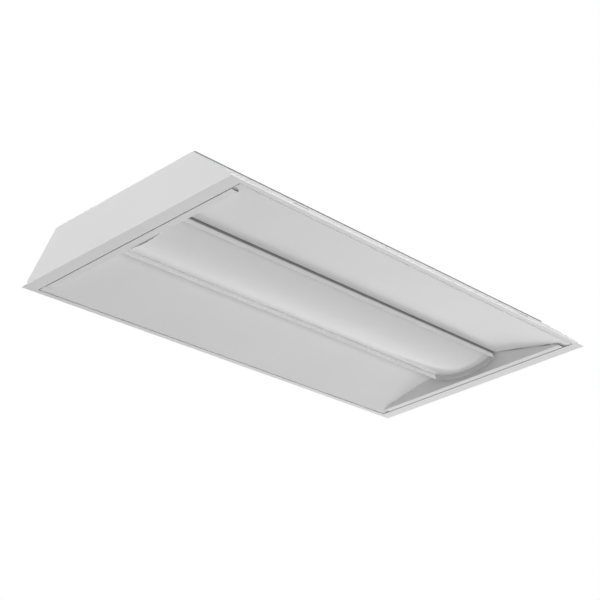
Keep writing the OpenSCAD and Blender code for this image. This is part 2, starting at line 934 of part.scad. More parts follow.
module latch_guides() {
    color(steel_zinc)
        mirror([0, 1, 0])
            for (x = [-latch_x, latch_x])
                for (gx = guide_x)
                    along_x(x + gx, x + gx + guide_w)
                        difference() {
                            polygon([
                                [guide_y0, panel_z(guide_y0) + sheet_t],
                                [guide_y1, panel_z(guide_y1) + sheet_t],
                                [guide_y1, tongue_z + tongue_t + run + 1],
                                [guide_y0, tongue_z + tongue_t + run + 1]
                            ]);
                            translate([slide_y0 - run, tongue_z - run])
                                square([slide_y1 - slide_y0 + 2 * run, tongue_t + 2 * run]);
                        }
}

module latch_slide(x) {
    color(steel_zinc)
        mirror([0, 1, 0])
            union() {
                block([x - slide_l / 2, slide_y0, tongue_z], [x + slide_l / 2, slide_y1, tongue_z + tongue_t]);
                block([x, slide_y1 - 1, tongue_z], [x + tongue_l, finger_y, tongue_z + tongue_t]);
                block([x + finger_x, slide_y1 - 1, tongue_z],
                      [x + finger_x + finger_l, finger_y + finger_t, tongue_z + tongue_t]);
                block([x + finger_x, finger_y, sheet_t],
                      [x + finger_x + finger_l, finger_y + finger_t, tongue_z + tongue_t]);
            }
}

module latch_slide_left() {
    latch_slide(-latch_x);
}

module latch_slide_right() {
    latch_slide(latch_x);
}

module clip_rivets() {
    color(steel_zinc)
        for (c = clip_at)
            on_wall(c[0] * clip_x, clip_s, c[1]) {
                translate([0, 0, -sheet_t])
                    cylinder(h = sheet_t + clip_t + 0.4, r = clip_rivet_r);
                translate([0, 0, clip_t + 0.4])
                    cylinder(h = 0.8, r = 3.6);
                translate([0, 0, -sheet_t - 1])
                    cylinder(h = 1, r = 3.2);
            }
}

// A flat swing clip lying along the wall, with its free end toward the middle
module grid_clip(i) {
    c = clip_at[i];
    color(steel_zinc)
        on_wall(c[0] * clip_x, clip_s, c[1])
            translate([0, 0, 0.2])
                difference() {
                    linear_extrude(clip_t)
                        union() {
                            circle(clip_w / 2);
                            translate([c[0] > 0 ? -clip_l : 0, -clip_w / 2])
                                square([clip_l, clip_w]);
                        }
                    translate([0, 0, -1])
                        cylinder(h = 4, r = clip_rivet_r + fit);
                }
}

module grid_clip_1() {
    grid_clip(0);
}

module grid_clip_2() {
    grid_clip(1);
}

module grid_clip_3() {
    grid_clip(2);
}

module grid_clip_4() {
    grid_clip(3);
}

// Door

panel_steps = 12;
hip_gap = 0.2;

// Side panel on the far side, with its rolled edge and the fold beside the collar
module side_panel_sheet() {
    ys = [for (i = [0 : panel_steps]) hinge_y + (fold_y - hinge_y) * i / panel_steps];
    polygon(concat(
        [for (y = ys) [y, panel_z(y)]],
        [
            [fold_y, fold_top],
            [seat_y, fold_top],
            [seat_y, fold_top - sheet_t],
            [fold_y + sheet_t, fold_top - sheet_t],
            [fold_y + sheet_t, panel_z(fold_y + sheet_t) + sheet_t]
        ],
        [for (i = [panel_steps - 1 : -1 : 0]) [ys[i], panel_z(ys[i]) + sheet_t]]));
}

module side_panel() {
    color("white")
        difference() {
            union() {
                along_x(-door_x, door_x)
                    side_panel_sheet();
                along_x(-door_x, door_x)
                    translate([hinge_y, hinge_z])
                        circle(hem_r);
            }
            along_x(-door_x - 1, door_x + 1)
                translate([hinge_y, hinge_z])
                    circle(pin_bore);
            for (x = rivet_xs)
                hole([x, rivet_y], rivet_r + fit, fold_top - sheet_t - 1, fold_top + 1);
        }
}

module side_panel_far() {
    side_panel();
}

module side_panel_near() {
    mirror([0, 1, 0])
        side_panel();
}

// Room that the side panels leave for the end panels between them
module end_room() {
    stop_y = door_y - strip_stop;
    steps = 10;
    top_y = fold_y - hip_gap;
    polygon(both(concat(
        [[stop_y, -1]],
        [for (i = [0 : steps]) let (y = stop_y + (top_y - stop_y) * i / steps) [y, panel_z(y) - hip_gap]],
        [[top_y, fold_top + 1]])));
}

// End strip, end panel and the fold that carries the end of the collar, at the +X end
module end_panel() {
    color("white")
        difference() {
            intersection() {
                along_y(-hy, hy)
                    polygon([
                        [door_x, 0],
                        [strip_x, 0],
                        [fold_x, panel_rise],
                        [fold_x, fold_top],
                        [seat_x, fold_top],
                        [seat_x, fold_top - sheet_t],
                        [fold_x + sheet_t, fold_top - sheet_t],
                        [fold_x + sheet_t, panel_rise],
                        [strip_x + sheet_t, sheet_t],
                        [door_x - sheet_t, sheet_t],
                        [door_x - sheet_t, 5],
                        [door_x, 5]
                    ]);
                along_x(0, hx)
                    end_room();
            }
            for (y = rivet_ys)
                hole([rivet_x, y], rivet_r + fit, fold_top - sheet_t - 1, fold_top + 1);
        }
}

module end_panel_right() {
    end_panel();
}

module end_panel_left() {
    mirror([1, 0, 0])
        end_panel();
}

// Collar

rivet_end = 59.6;
end_rivet_side = 28.8;
rivet_xs = [for (f = [-1, -0.5, 0, 0.5, 1]) f * (collar_x - rivet_end)];
rivet_ys = [end_rivet_side - rail_y, rail_y - end_rivet_side];

module collar_rail() {
    rail_x = collar_x - sheet_t;
    low = bow_at(rail_y);
    color("white")
        difference() {
            along_x(-rail_x, rail_x)
                polygon([
                    [rail_y, low],
                    [rail_y, collar_top - sheet_t],
                    [seat_y, collar_top - sheet_t],
                    [seat_y, collar_top],
                    [rail_in, collar_top],
                    [rail_in, low + rail_hem],
                    [rail_in - 0.6, low + rail_hem],
                    [rail_in - 0.6, low]
                ]);
            for (x = rivet_xs)
                hole([x, rivet_y], rivet_r + fit, fold_top - 1, collar_top + 1);
        }
}

module collar_rail_far() {
    collar_rail();
}

module collar_rail_near() {
    mirror([0, 1, 0])
        collar_rail();
}

// End of the collar, with a lower edge that follows the lens, at the +X end
module collar_end() {
    color("white")
        difference() {
            union() {
                along_x(collar_x - sheet_t, collar_x)
                    difference() {
                        translate([-rail_y, 0])
                            square([2 * rail_y, collar_top]);
                        difference() {
                            translate([-far, -far])
                                square([2 * far, far + bow_at(rail_y)]);
                            translate([0, bow_z])
                                circle(bow_r, $fn = 360);
                        }
                    }
                block([collar_x - sheet_t, -rail_y, fold_top], [seat_x, rail_y, collar_top]);
            }
            for (y = rivet_ys)
                hole([rivet_x, y], rivet_r + fit, fold_top - 1, collar_top + 1);
        }
}

module collar_end_right() {
    collar_end();
}

module collar_end_left() {
    mirror([1, 0, 0])
        collar_end();
}

module collar_rivet(p) {
    hole(p, rivet_r, fold_top - sheet_t, collar_top);
    hole(p, 3, collar_top, collar_top + 1);
    hole(p, 2.6, fold_top - sheet_t - 1, fold_top - sheet_t);
}

module collar_rivets() {
    color(steel_zinc)
        union() {
            for (x = rivet_xs)
                for (s = [-1, 1])
                    collar_rivet([x, s * rivet_y]);
            for (y = rivet_ys)
                for (s = [-1, 1])
                    collar_rivet([s * rivet_x, y]);
        }
}

// Lens: a bowed sheet whose edges turn up inside the collar and out over its rails
module lens() {
    edge_z = lens_low + bow_at(lens_y) - collar_low;
    color("mintcream")
        union() {
            along_x(-lens_x, lens_x)
                intersection() {
                    translate([0, bow_z + lens_reveal])
                        difference() {
                            circle(bow_r, $fn = 360);
                            circle(bow_r - lens_t, $fn = 360);
                        }
                    translate([-lens_y, 0])
                        square([2 * lens_y, edge_z + lens_t]);
                }
            both_y()
                along_x(-lens_x, lens_x)
                    polygon([
                        [lens_y, edge_z],
                        [lens_y, collar_top],
                        [lens_y + lens_flange, collar_top],
                        [lens_y + lens_flange, collar_top + lens_t],
                        [lens_y - lens_t, collar_top + lens_t],
                        [lens_y - lens_t, edge_z]
                    ]);
        }
}

pin_in = 14;

module hinge_pins() {
    color(steel_zinc)
        both_x()
            translate([door_x - pin_in, hinge_y, hinge_z])
                rotate([0, 90, 0])
                    cylinder(h = bracket_x + bracket_t + 1 - door_x + pin_in, r = pin_r);
}

housing_pan();
end_plate_left();
end_plate_right();
corner_rivets();
light_box();
light_box_end_left();
light_box_end_right();
light_box_screws();
led_board_1();
led_board_2();
led_board_3();
led_board_4();
led_packages();
board_connectors();
jumper_wires();
board_screws();
driver_base();
driver_case();
driver_terminals();
driver_screws();
wireway_cover();
cover_screws();
quick_disconnect_socket();
quick_disconnect_plug();
line_wires();
ground_wire();
ground_screw();
led_wires();
wire_grommet();
wire_saddles();
access_pivot_rivet();
access_screw();
access_plate();
knockout_slug();
hinge_brackets();
latch_keepers();
clip_rivets();
grid_clip_1();
grid_clip_2();
grid_clip_3();
grid_clip_4();
side_panel_near();
side_panel_far();
end_panel_left();
end_panel_right();
collar_rail_near();
collar_rail_far();
collar_end_left();
collar_end_right();
collar_rivets();
lens();
hinge_pins();
latch_guides();
latch_slide_left();
latch_slide_right();
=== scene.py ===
"""Looks of the recessed troffer light: a white steel housing that stays in the ceiling, and a
reflector door with a bowed lens that hinges down. Sizes are in millimetres and become metres
where a mesh is built. Lamps and camera are in metres. X runs along the light, Y across it, and
the ceiling plane is at z = 0."""

import json
import math
import random

import bmesh
import bpy
from mathutils import Matrix, Vector

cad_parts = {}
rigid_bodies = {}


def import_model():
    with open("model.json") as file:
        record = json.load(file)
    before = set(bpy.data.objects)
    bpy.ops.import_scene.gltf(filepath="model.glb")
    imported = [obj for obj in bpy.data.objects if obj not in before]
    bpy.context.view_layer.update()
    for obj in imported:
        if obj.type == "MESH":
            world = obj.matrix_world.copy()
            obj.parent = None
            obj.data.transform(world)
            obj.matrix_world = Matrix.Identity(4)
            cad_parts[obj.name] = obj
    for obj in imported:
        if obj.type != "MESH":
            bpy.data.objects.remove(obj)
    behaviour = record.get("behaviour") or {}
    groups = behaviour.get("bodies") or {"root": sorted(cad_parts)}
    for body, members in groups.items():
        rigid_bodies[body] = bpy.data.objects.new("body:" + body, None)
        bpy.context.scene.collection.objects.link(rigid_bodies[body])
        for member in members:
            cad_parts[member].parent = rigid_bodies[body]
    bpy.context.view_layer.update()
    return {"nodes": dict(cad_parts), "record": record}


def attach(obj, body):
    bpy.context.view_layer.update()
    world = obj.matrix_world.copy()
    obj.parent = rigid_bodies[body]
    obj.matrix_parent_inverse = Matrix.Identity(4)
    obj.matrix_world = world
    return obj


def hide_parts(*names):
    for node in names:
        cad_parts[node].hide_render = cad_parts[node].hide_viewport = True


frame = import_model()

MM = 0.001
nodes = frame["nodes"]
slot_of = {part["node"]: part["material_slot"] for part in frame["record"]["subparts"]}
body_of = {name: node.parent.name.split(":", 1)[1] for name, node in nodes.items()}

# Sizes in millimetres, those of the part's solids

SHEET = 0.8
FLANGE_Y = 301.5
END_FLANGE_IN = 573.2
SIDE_FLANGE_IN = 290.4
LIP_Y, LIP_TOP = 292.0, 12.5
PAN_X = 598.5
ROOF_Y, ROOF_TOP = 200.0, 100.0
ROOF_IN = ROOF_TOP - SHEET
WALL_RISE = (ROOF_TOP - LIP_TOP) / (LIP_Y - ROOF_Y)
WALL_ANGLE = math.atan(WALL_RISE)

DOOR_X = 570.6
HEM_Y, HEM_Z, HEM_R = 285.5, 2.3, 2.3
PANEL_RISE, PANEL_BOW = 40.0, 2.0
FOLD_Y, FOLD_TOP, SEAT_Y = 90.4, 46.0, 108.2
STRIP_X, FOLD_X, SEAT_X, STRIP_END = 551.0, 546.0, 561.8, 266.0

RAIL_Y, RAIL_IN, RAIL_X, RAIL_TOP = 88.8, 88.0, 538.8, 46.8
BOW_R, COLLAR_LOW, LENS_LOW = 217.0, 5.0, 17.0
LENS_T, LENS_Y, LENS_X, LENS_FLANGE = 2.0, 87.7, 538.5, 8.4

BOX_X, BOX_ROOF, BOX_MOUTH, BOX_FOOT = 556.0, 70.0, 93.0, 52.0
BOX_FOOT_Y = 103.0
BOARD_TOP, BOARD_LOW, BOARD_MID, BOARD_LENGTH, ROW_Y = 98.4, 96.8, 275.5, 545.0, 35.0
LED_N, LED_W, LED_H = 28, 3.2, 0.8
LED_PITCH = BOARD_LENGTH / LED_N

DRIVER_Y, DRIVER_SCREW_X, DRIVER_SCREW_Z = -148.0, 188.0, 98.2
COVER_X0, COVER_X1, COVER_Y0, COVER_Y1, COVER_LOW = -260.0, 480.0, -184.0, -112.0, 61.2
COVER_TAB = 11.0
GROMMET_X, GROMMET_Y, GROMMET_Z, GROMMET_R = -230.0, -78.77, 81.2, 6.0
WIRE_R, WIRE_STEPS, WIRE_SIDES = 1.1, 7, 12
GROUND_X, GROUND_Y = 230.0, -124.0
OUTLET_Z, PLUG_END_X, PLUG_Z = 84.2, 286.0, 67.0


def panel_height(y):
    """Height of the lower face of a side panel, at a distance y from the middle."""
    s = (HEM_Y - y) / (HEM_Y - FOLD_Y)
    return PANEL_RISE * s + 4 * PANEL_BOW * s * (1 - s)


def bow_height(y):
    """Height of the curved lower edge of the collar."""
    return COLLAR_LOW + BOW_R - math.sqrt(BOW_R ** 2 - y ** 2)


# Camera: below the ceiling, near the left end, looking up along the light

CAMERA_PLACE = (-2.2875, -1.8408, -1.3451)
CAMERA_AZIMUTH = -50.199
CAMERA_ELEVATION = -25.442
CAMERA_ROLL = -4.46
CAMERA_LENS = 86.91
SENSOR_WIDTH = 36
CAMERA_REACH = 150


def make_camera():
    data = bpy.data.cameras.new("camera")
    data.lens = CAMERA_LENS
    data.sensor_width = SENSOR_WIDTH
    data.clip_end = CAMERA_REACH
    camera = bpy.data.objects.new("camera", data)
    bpy.context.scene.collection.objects.link(camera)
    camera.matrix_world = (
        Matrix.Translation(CAMERA_PLACE)
        @ Matrix.Rotation(math.radians(CAMERA_AZIMUTH), 4, "Z")
        @ Matrix.Rotation(math.radians(90 - CAMERA_ELEVATION), 4, "X")
        @ Matrix.Rotation(math.radians(CAMERA_ROLL), 4, "Z")
    )
    bpy.context.scene.camera = camera


# Lamps: name, place in metres, width, power in watts. All of them aim at the middle.

LAMPS = [
    ("left_up", (-3.33, 0.0, 0.71), 1.6, 60),
    ("near_up", (0.0, -3.08, 1.44), 1.6, 52),
    ("far_right", (2.08, 2.08, -0.62), 1.5, 74),
    ("near_low", (0.0, -2.65, -1.41), 1.5, 36),
    ("above", (0.26, 1.48, 2.83), 2.4, 18),
]
AMBIENT = 0.1
SEEN_WHITE = 1.0


def make_lamps():
    for name, place, width, power in LAMPS:
        data = bpy.data.lights.new("lamp_" + name, "AREA")
        data.shape = "DISK"
        data.size = width
        data.energy = power
        lamp = bpy.data.objects.new("lamp_" + name, data)
        bpy.context.scene.collection.objects.link(lamp)
        lamp.location = place
        lamp.rotation_mode = "QUATERNION"
        lamp.rotation_quaternion = (-Vector(place)).to_track_quat("-Z", "Y")
        lamp.visible_camera = False
        lamp.visible_glossy = False


def background_rays(tree):
    """1 where the camera looks, and where a reflection or clear material shows the background."""
    path = tree.nodes.new("ShaderNodeLightPath")
    seen = path.outputs["Is Camera Ray"]
    for ray in ("Is Glossy Ray", "Is Transmission Ray"):
        either = tree.nodes.new("ShaderNodeMath")
        either.operation = "MAXIMUM"
        tree.links.new(seen, either.inputs[0])
        tree.links.new(path.outputs[ray], either.inputs[1])
        seen = either.outputs[0]
    return seen


def make_world():
    """Even, weak light all round, and white where the camera or a reflection sees it."""
    world = bpy.data.worlds.new("studio")
    bpy.context.scene.world = world
    world.use_nodes = True
    tree = world.node_tree
    tree.nodes.clear()
    out = tree.nodes.new("ShaderNodeOutputWorld")
    mix = tree.nodes.new("ShaderNodeMixShader")
    tree.links.new(background_rays(tree), mix.inputs[0])
    for index, strength in ((1, AMBIENT), (2, SEEN_WHITE)):
        light = tree.nodes.new("ShaderNodeBackground")
        light.inputs["Color"].default_value = (1, 1, 1, 1)
        light.inputs["Strength"].default_value = strength
        tree.links.new(light.outputs[0], mix.inputs[index])
    tree.links.new(mix.outputs[0], out.inputs["Surface"])
    bpy.context.scene.view_settings.view_transform = "Standard"


# Effects that several finishes share


def effect(name, inputs, outputs):
    """A node group with plain number inputs and outputs, and the object's own coordinates."""
    group = bpy.data.node_groups.new(name, "ShaderNodeTree")
    for label, value in inputs:
        socket = group.interface.new_socket(label, in_out="INPUT", socket_type="NodeSocketFloat")
        socket.default_value = value
    for label in outputs:
        group.interface.new_socket(label, in_out="OUTPUT", socket_type="NodeSocketFloat")
    entry = group.nodes.new("NodeGroupInput")
    leave = group.nodes.new("NodeGroupOutput")
    place = group.nodes.new("ShaderNodeTexCoord").outputs["Object"]
    return group, entry, leave, place


def number(group, kind, a, b=None, c=None):
    """One step of arithmetic on numbers or sockets."""
    node = group.nodes.new("ShaderNodeMath")
    node.operation = kind
    for index, value in enumerate((a, b, c)):
        if value is None:
            continue
        if isinstance(value, (int, float)):
            node.inputs[index].default_value = value
        else:
            group.links.new(value, node.inputs[index])
    return node.outputs[0]


def noise(group, place, scale, detail, roughness):
    """Cloudy noise from 0 to 1. The scale is a number or a socket."""
    node = group.nodes.new("ShaderNodeTexNoise")
    node.inputs["Detail"].default_value = detail
    node.inputs["Roughness"].default_value = roughness
    group.links.new(place, node.inputs["Vector"])
    if isinstance(scale, (int, float)):
        node.inputs["Scale"].default_value = scale
    else:
        group.links.new(scale, node.inputs["Scale"])
    return node.outputs["Fac"]


def stretched(group, place, factors):
    """The coordinates times a factor for each direction."""
    node = group.nodes.new("ShaderNodeMapping")
    node.inputs["Scale"].default_value = factors
    group.links.new(place, node.inputs["Vector"])
    return node.outputs[0]


def spread(group, value, low, high, out_low, out_high):
    """Moves the range low to high onto the range out_low to out_high, held at its ends."""
    node = group.nodes.new("ShaderNodeMapRange")
    for index, number_in in enumerate((low, high, out_low, out_high), 1):
        node.inputs[index].default_value = number_in
    group.links.new(value, node.inputs[0])
    return node.outputs[0]


def orange_peel():
    """Baked enamel: the fine waves of the paint film, and slow cloudy changes of its depth."""
    group, entry, leave, place = effect(
        "orange_peel", [("Waves per Metre", 420.0), ("Cloud", 1.0)], ["Height", "Cloud", "Sheen"]
    )
    fine = noise(group, place, entry.outputs["Waves per Metre"], 2.0, 0.45)
    grain = noise(group, place, 2600.0, 1.0, 0.5)
    group.links.new(number(group, "MULTIPLY_ADD", grain, 0.12, fine), leave.inputs["Height"])
    broad = noise(group, place, 5.5, 3.0, 0.55)
    centred = number(group, "SUBTRACT", broad, 0.5)
    tone_shift = number(group, "MULTIPLY", centred, entry.outputs["Cloud"])
    group.links.new(number(group, "ADD", tone_shift, 0.5), leave.inputs["Cloud"])
    group.links.new(noise(group, place, 38.0, 4.0, 0.6), leave.inputs["Sheen"])
    return group


def rolled_zinc():
    """Zinc coat on rolled steel: faint crystals, rolling lines along the sheet, small scuffs."""
    group, entry, leave, place = effect(
        "rolled_zinc", [("Crystals per Metre", 160.0), ("Lines", 1.0)], ["Tone", "Gloss", "Height"]
    )
    cells = group.nodes.new("ShaderNodeTexVoronoi")
    group.links.new(place, cells.inputs["Vector"])
    group.links.new(entry.outputs["Crystals per Metre"], cells.inputs["Scale"])
    crystal = group.nodes.new("ShaderNodeSeparateColor")
    group.links.new(cells.outputs["Color"], crystal.inputs[0])
    lines = noise(group, stretched(group, place, (12, 900, 900)), 1.0, 3.0, 0.6)
    lines = number(group, "MULTIPLY", number(group, "SUBTRACT", lines, 0.5), entry.outputs["Lines"])
    tone = number(group, "MULTIPLY_ADD", crystal.outputs[0], 0.16, 0.42)
    group.links.new(number(group, "ADD", tone, lines), leave.inputs["Tone"])
    scuff = noise(group, place, 70.0, 5.0, 0.7)
    worn = number(group, "MULTIPLY", scuff, 0.8)
    gloss = number(group, "MULTIPLY_ADD", crystal.outputs[1], 0.2, worn)
    group.links.new(gloss, leave.inputs["Gloss"])
    group.links.new(number(group, "MULTIPLY_ADD", lines, 0.6, scuff), leave.inputs["Height"])
    return group


def moulded_skin():
    """Moulded plastic or rubber: a fine spark-eroded grain and slight cloudiness."""
    group, entry, leave, place = effect(
        "moulded_skin", [("Grain per Metre", 2400.0)], ["Height", "Cloud", "Sheen"]
    )
    group.links.new(
        noise(group, place, entry.outputs["Grain per Metre"], 3.0, 0.6), leave.inputs["Height"]
    )
    group.links.new(noise(group, place, 60.0, 3.0, 0.5), leave.inputs["Cloud"])
    group.links.new(noise(group, place, 210.0, 2.0, 0.5), leave.inputs["Sheen"])
    return group


def frosted_sheet():
    """Frosted diffuser sheet with painted light: its tone is made lighter across its width towards
    the hinge side, with a painted highlight along that edge, and it has a slight cloudiness."""
    group, entry, leave, place = effect(
        "frosted_sheet", [("Half Width", LENS_Y * MM), ("Grain per Metre", 2400.0)],
        ["Height", "Cloud", "Sheen"],
    )
    parts = group.nodes.new("ShaderNodeSeparateXYZ")
    group.links.new(place, parts.inputs[0])
    across = number(group, "DIVIDE", parts.outputs[1], entry.outputs["Half Width"])
    # painted light: the tone rises across the sheet towards the hinge side
    painted_light_across = spread(group, across, -1.0, 0.8, 0.0, 0.7)
    # painted highlight, strongest at the hinge-side edge
    edge = number(group, "POWER", spread(group, across, 0.1, 1.0, 0.0, 1.0), 2.0)
    tone_shift = number(group, "MULTIPLY_ADD", edge, 0.3, painted_light_across)
    patches = number(group, "SUBTRACT", noise(group, place, 9.0, 3.0, 0.5), 0.5)
    group.links.new(number(group, "MULTIPLY_ADD", patches, 0.08, tone_shift), leave.inputs["Cloud"])
    group.links.new(
        noise(group, place, entry.outputs["Grain per Metre"], 3.0, 0.6), leave.inputs["Height"]
    )
    group.links.new(noise(group, place, 210.0, 2.0, 0.5), leave.inputs["Sheen"])
    return group


def collar_crease():
    """Painted shade in the crease between the lens collar and the reflector panels. It is darkest
    in the slot above the hem of the collar and thins out over the panels."""
    group, entry, leave, place = effect(
        "collar_crease",
        [("Collar Half Length", RAIL_X * MM), ("Collar Half Width", RAIL_Y * MM),
         ("Slot Foot", 34.6 * MM), ("Reach", 34 * MM)],
        ["Dust"],
    )
    parts = group.nodes.new("ShaderNodeSeparateXYZ")
    group.links.new(place, parts.inputs[0])
    past_end = number(group, "SUBTRACT", number(group, "ABSOLUTE", parts.outputs[0]),
                      entry.outputs["Collar Half Length"])
    past_side = number(group, "SUBTRACT", number(group, "ABSOLUTE", parts.outputs[1]),
                       entry.outputs["Collar Half Width"])
    away = number(group, "MAXIMUM", past_end, past_side)
    outside = spread(group, away, -0.5 * MM, -0.1 * MM, 0.0, 1.0)
    # painted shade, darkest in the slot just outside the collar
    slot = spread(group, away, 1.0 * MM, 3.5 * MM, 0.80, 0.0)
    soft_shade_reach = number(group, "DIVIDE", away, entry.outputs["Reach"])
    # a softer painted shade that fades out over the panels
    soft_shade = spread(group, soft_shade_reach, 0.0, 1.0, 0.14, 0.0)
    height = number(group, "SUBTRACT", parts.outputs[2], entry.outputs["Slot Foot"])
    above = spread(group, height, -1.5 * MM, 1.5 * MM, 0.16, 1.0)
    on_collar = spread(group, parts.outputs[2], 50 * MM, 52 * MM, 1.0, 0.0)
    uneven = spread(group, noise(group, place, 45.0, 3.0, 0.6), 0.25, 0.75, 0.88, 1.0)
    dust = number(group, "MAXIMUM", slot, soft_shade)
    for limit in (above, on_collar, outside, uneven):
        dust = number(group, "MULTIPLY", dust, limit)
    group.links.new(dust, leave.inputs["Dust"])
    return group


# Finishes

# Colour of the painted shade in the crease beside the lens collar
PAINTED_SHADE_COLOUR = (0.045, 0.044, 0.043)
FINISHES = {}


def finish(name, shared, values, low, high, rough, height, dust=None, **settings):
    """A Principled finish. The values are this finish's own for the inputs of the shared effect,
    in their order. low and high are the two colours that the tone moves between, rough the two
    ends of the roughness, and height the strength of the relief and its depth in metres. The
    optional effect after height masks where painted shade darkens the colour. The settings are
    more sockets of the shader."""
    material = bpy.data.materials.new(name)
    material.use_nodes = True
    tree = material.node_tree
    shader = tree.nodes["Principled BSDF"]
    look = tree.nodes.new("ShaderNodeGroup")
    look.node_tree = shared
    for socket, value in zip(look.inputs, values, strict=True):
        socket.default_value = value
    tone = "Tone" if "Tone" in look.outputs else "Cloud"
    sheen = "Gloss" if "Gloss" in look.outputs else "Sheen"
    ramp = tree.nodes.new("ShaderNodeMix")
    ramp.data_type = "RGBA"
    tree.links.new(look.outputs[tone], ramp.inputs[0])
    ramp.inputs[6].default_value = (*low, 1)
    ramp.inputs[7].default_value = (*high, 1)
    colour = ramp.outputs[2]
    # Painted shade: the colour goes towards the dark colour where the mask is high
    if dust:
        mask = tree.nodes.new("ShaderNodeGroup")
        mask.node_tree = dust
        painted_shade_mix = tree.nodes.new("ShaderNodeMix")
        painted_shade_mix.data_type = "RGBA"
        tree.links.new(mask.outputs["Dust"], painted_shade_mix.inputs[0])
        tree.links.new(colour, painted_shade_mix.inputs[6])
        painted_shade_mix.inputs[7].default_value = (*PAINTED_SHADE_COLOUR, 1)
        colour = painted_shade_mix.outputs[2]
    tree.links.new(colour, shader.inputs["Base Color"])
    tree.links.new(
        spread(tree, look.outputs[sheen], 0.25, 0.75, *rough), shader.inputs["Roughness"]
    )
    bump = tree.nodes.new("ShaderNodeBump")
    bump.inputs["Strength"].default_value = height[0]
    bump.inputs["Distance"].default_value = height[1]
    tree.links.new(look.outputs["Height"], bump.inputs["Height"])
    tree.links.new(bump.outputs[0], shader.inputs["Normal"])
    for label, value in settings.items():
        label = label.replace("_", " ").title().replace("Ior", "IOR")
        shader.inputs[label].default_value = value
    FINISHES[name] = material
    return material


def grey(level):
    return (level, level, level)


def make_finishes():
    enamel = orange_peel()
    zinc = rolled_zinc()
    skin = moulded_skin()
    peel = (0.25, 0.00004)
    # White enamel, darkened by painted shade in the crease beside the lens collar
    finish("white_enamel", enamel, (420, 1.0), grey(0.775), grey(0.825), (0.46, 0.58), peel,
           dust=collar_crease(), specular_ior_level=0.3)
    finish("driver_enamel", enamel, (420, 1.0), (0.70, 0.71, 0.72), (0.78, 0.785, 0.79),
           (0.34, 0.46), peel)
    finish("zinc_steel", zinc, (160, 1.0), (0.46, 0.47, 0.49), (0.74, 0.75, 0.765), (0.28, 0.52),
           (0.18, 0.00005), metallic=1.0)
    # The lens: painted light moves its tone from grey 0.63 to grey 0.96 across its width
    finish("diffuser_acrylic", frosted_sheet(), (LENS_Y * MM, 2400), grey(0.63), grey(0.96),
           (0.10, 0.14), (0.06, 0.00002), ior=1.49, coat_weight=1.0, coat_roughness=0.05)
    finish("board_white", skin, (2400,), (0.80, 0.81, 0.80), (0.87, 0.88, 0.87), (0.25, 0.35),
           (0.12, 0.00003))
    finish("led_body", skin, (2400,), (0.82, 0.82, 0.80), (0.88, 0.88, 0.86), (0.35, 0.45),
           (0.1, 0.00002))
    finish("led_phosphor", skin, (2400,), (0.74, 0.60, 0.14), (0.86, 0.72, 0.22), (0.22, 0.34),
           (0.1, 0.00002))
    finish("connector_ivory", skin, (2400,), (0.72, 0.69, 0.60), (0.80, 0.77, 0.69), (0.34, 0.46),
           (0.2, 0.00003))
    finish("terminal_grey", skin, (2400,), (0.20, 0.205, 0.21), (0.26, 0.265, 0.27), (0.38, 0.5),
           (0.2, 0.00003))
    finish("disconnect_orange", skin, (2400,), (0.72, 0.22, 0.03), (0.82, 0.29, 0.05), (0.3, 0.42),
           (0.2, 0.00003))
    finish("wire_black", skin, (2400,), (0.018, 0.018, 0.019), (0.03, 0.03, 0.032), (0.35, 0.45),
           (0.15, 0.00002))
    # Dark grey of the bead that paints the shade line along the roof's edges
    finish("seam_sealer", skin, (2400,), grey(0.20), grey(0.26), (0.6, 0.75), (0.2, 0.00004))
    finish("rubber_black", skin, (2400,), (0.022, 0.022, 0.022), (0.038, 0.038, 0.038),
           (0.6, 0.75), (0.3, 0.00004))
    finish("wire_red", skin, (2400,), (0.46, 0.025, 0.02), (0.56, 0.04, 0.03), (0.35, 0.45),
           (0.15, 0.00002))
    finish("wire_green", skin, (2400,), (0.02, 0.24, 0.06), (0.035, 0.32, 0.09), (0.35, 0.45),
           (0.15, 0.00002))
    finish("screw_green", zinc, (160, 1.0), (0.04, 0.26, 0.10), (0.08, 0.38, 0.17), (0.25, 0.4),
           (0.15, 0.00003), metallic=0.7)


# Shapes


def rounded(points):
    """A closed outline from corners (a, b) or (a, b, radius), each radius turned into an arc."""
    out = []
    count = len(points)
    for index, corner in enumerate(points):
        here = Vector(corner[:2])
        radius = corner[2] if len(corner) > 2 else 0
        to_last = Vector(points[index - 1][:2]) - here
        to_next = Vector(points[(index + 1) % count][:2]) - here
        angle = to_last.angle(to_next, math.pi)
        if radius <= 0 or angle > math.radians(179.5):
            out.append(tuple(here))
            continue
        reach = min(radius / math.tan(angle / 2), 0.49 * min(to_last.length, to_next.length))
        radius = reach * math.tan(angle / 2)
        to_last.normalize()
        to_next.normalize()
        centre = here + (to_last + to_next).normalized() * (radius / math.sin(angle / 2))
        first = here + to_last * reach - centre
        turn = math.pi - angle
        if to_last.cross(to_next) > 0:
            turn = -turn
        steps = max(2, math.ceil(abs(turn) / math.radians(15)))
        for step in range(steps + 1):
            swing = Matrix.Rotation(turn * step / steps, 2)
            out.append(tuple(centre + swing @ first))
    return out


def folded(path, thickness):
    """The closed outline of a sheet of that thickness round its middle line."""
    line = []
    for index, corner in enumerate(path):
        if 0 < index < len(path) - 1 and len(corner) > 2:
            bend = rounded([path[index - 1][:2], corner, path[index + 1][:2]])
            line += bend[1:-1]
        else:
            line.append(tuple(corner[:2]))
    left, right = [], []
    for index, point in enumerate(line):
        here = Vector(point)
        before = (here - Vector(line[index - 1])).normalized() if index else None
        after = (Vector(line[index + 1]) - here).normalized() if index < len(line) - 1 else None
        before = before or after
        after = after or before
        along = (before + after).normalized()
        across = Vector((-along.y, along.x))
        half = thickness / 2 / max(across.dot(Vector((-after.y, after.x))), 0.5)
        left.append(tuple(here + across * half))
        right.append(tuple(here - across * half))
    return left + right[::-1]


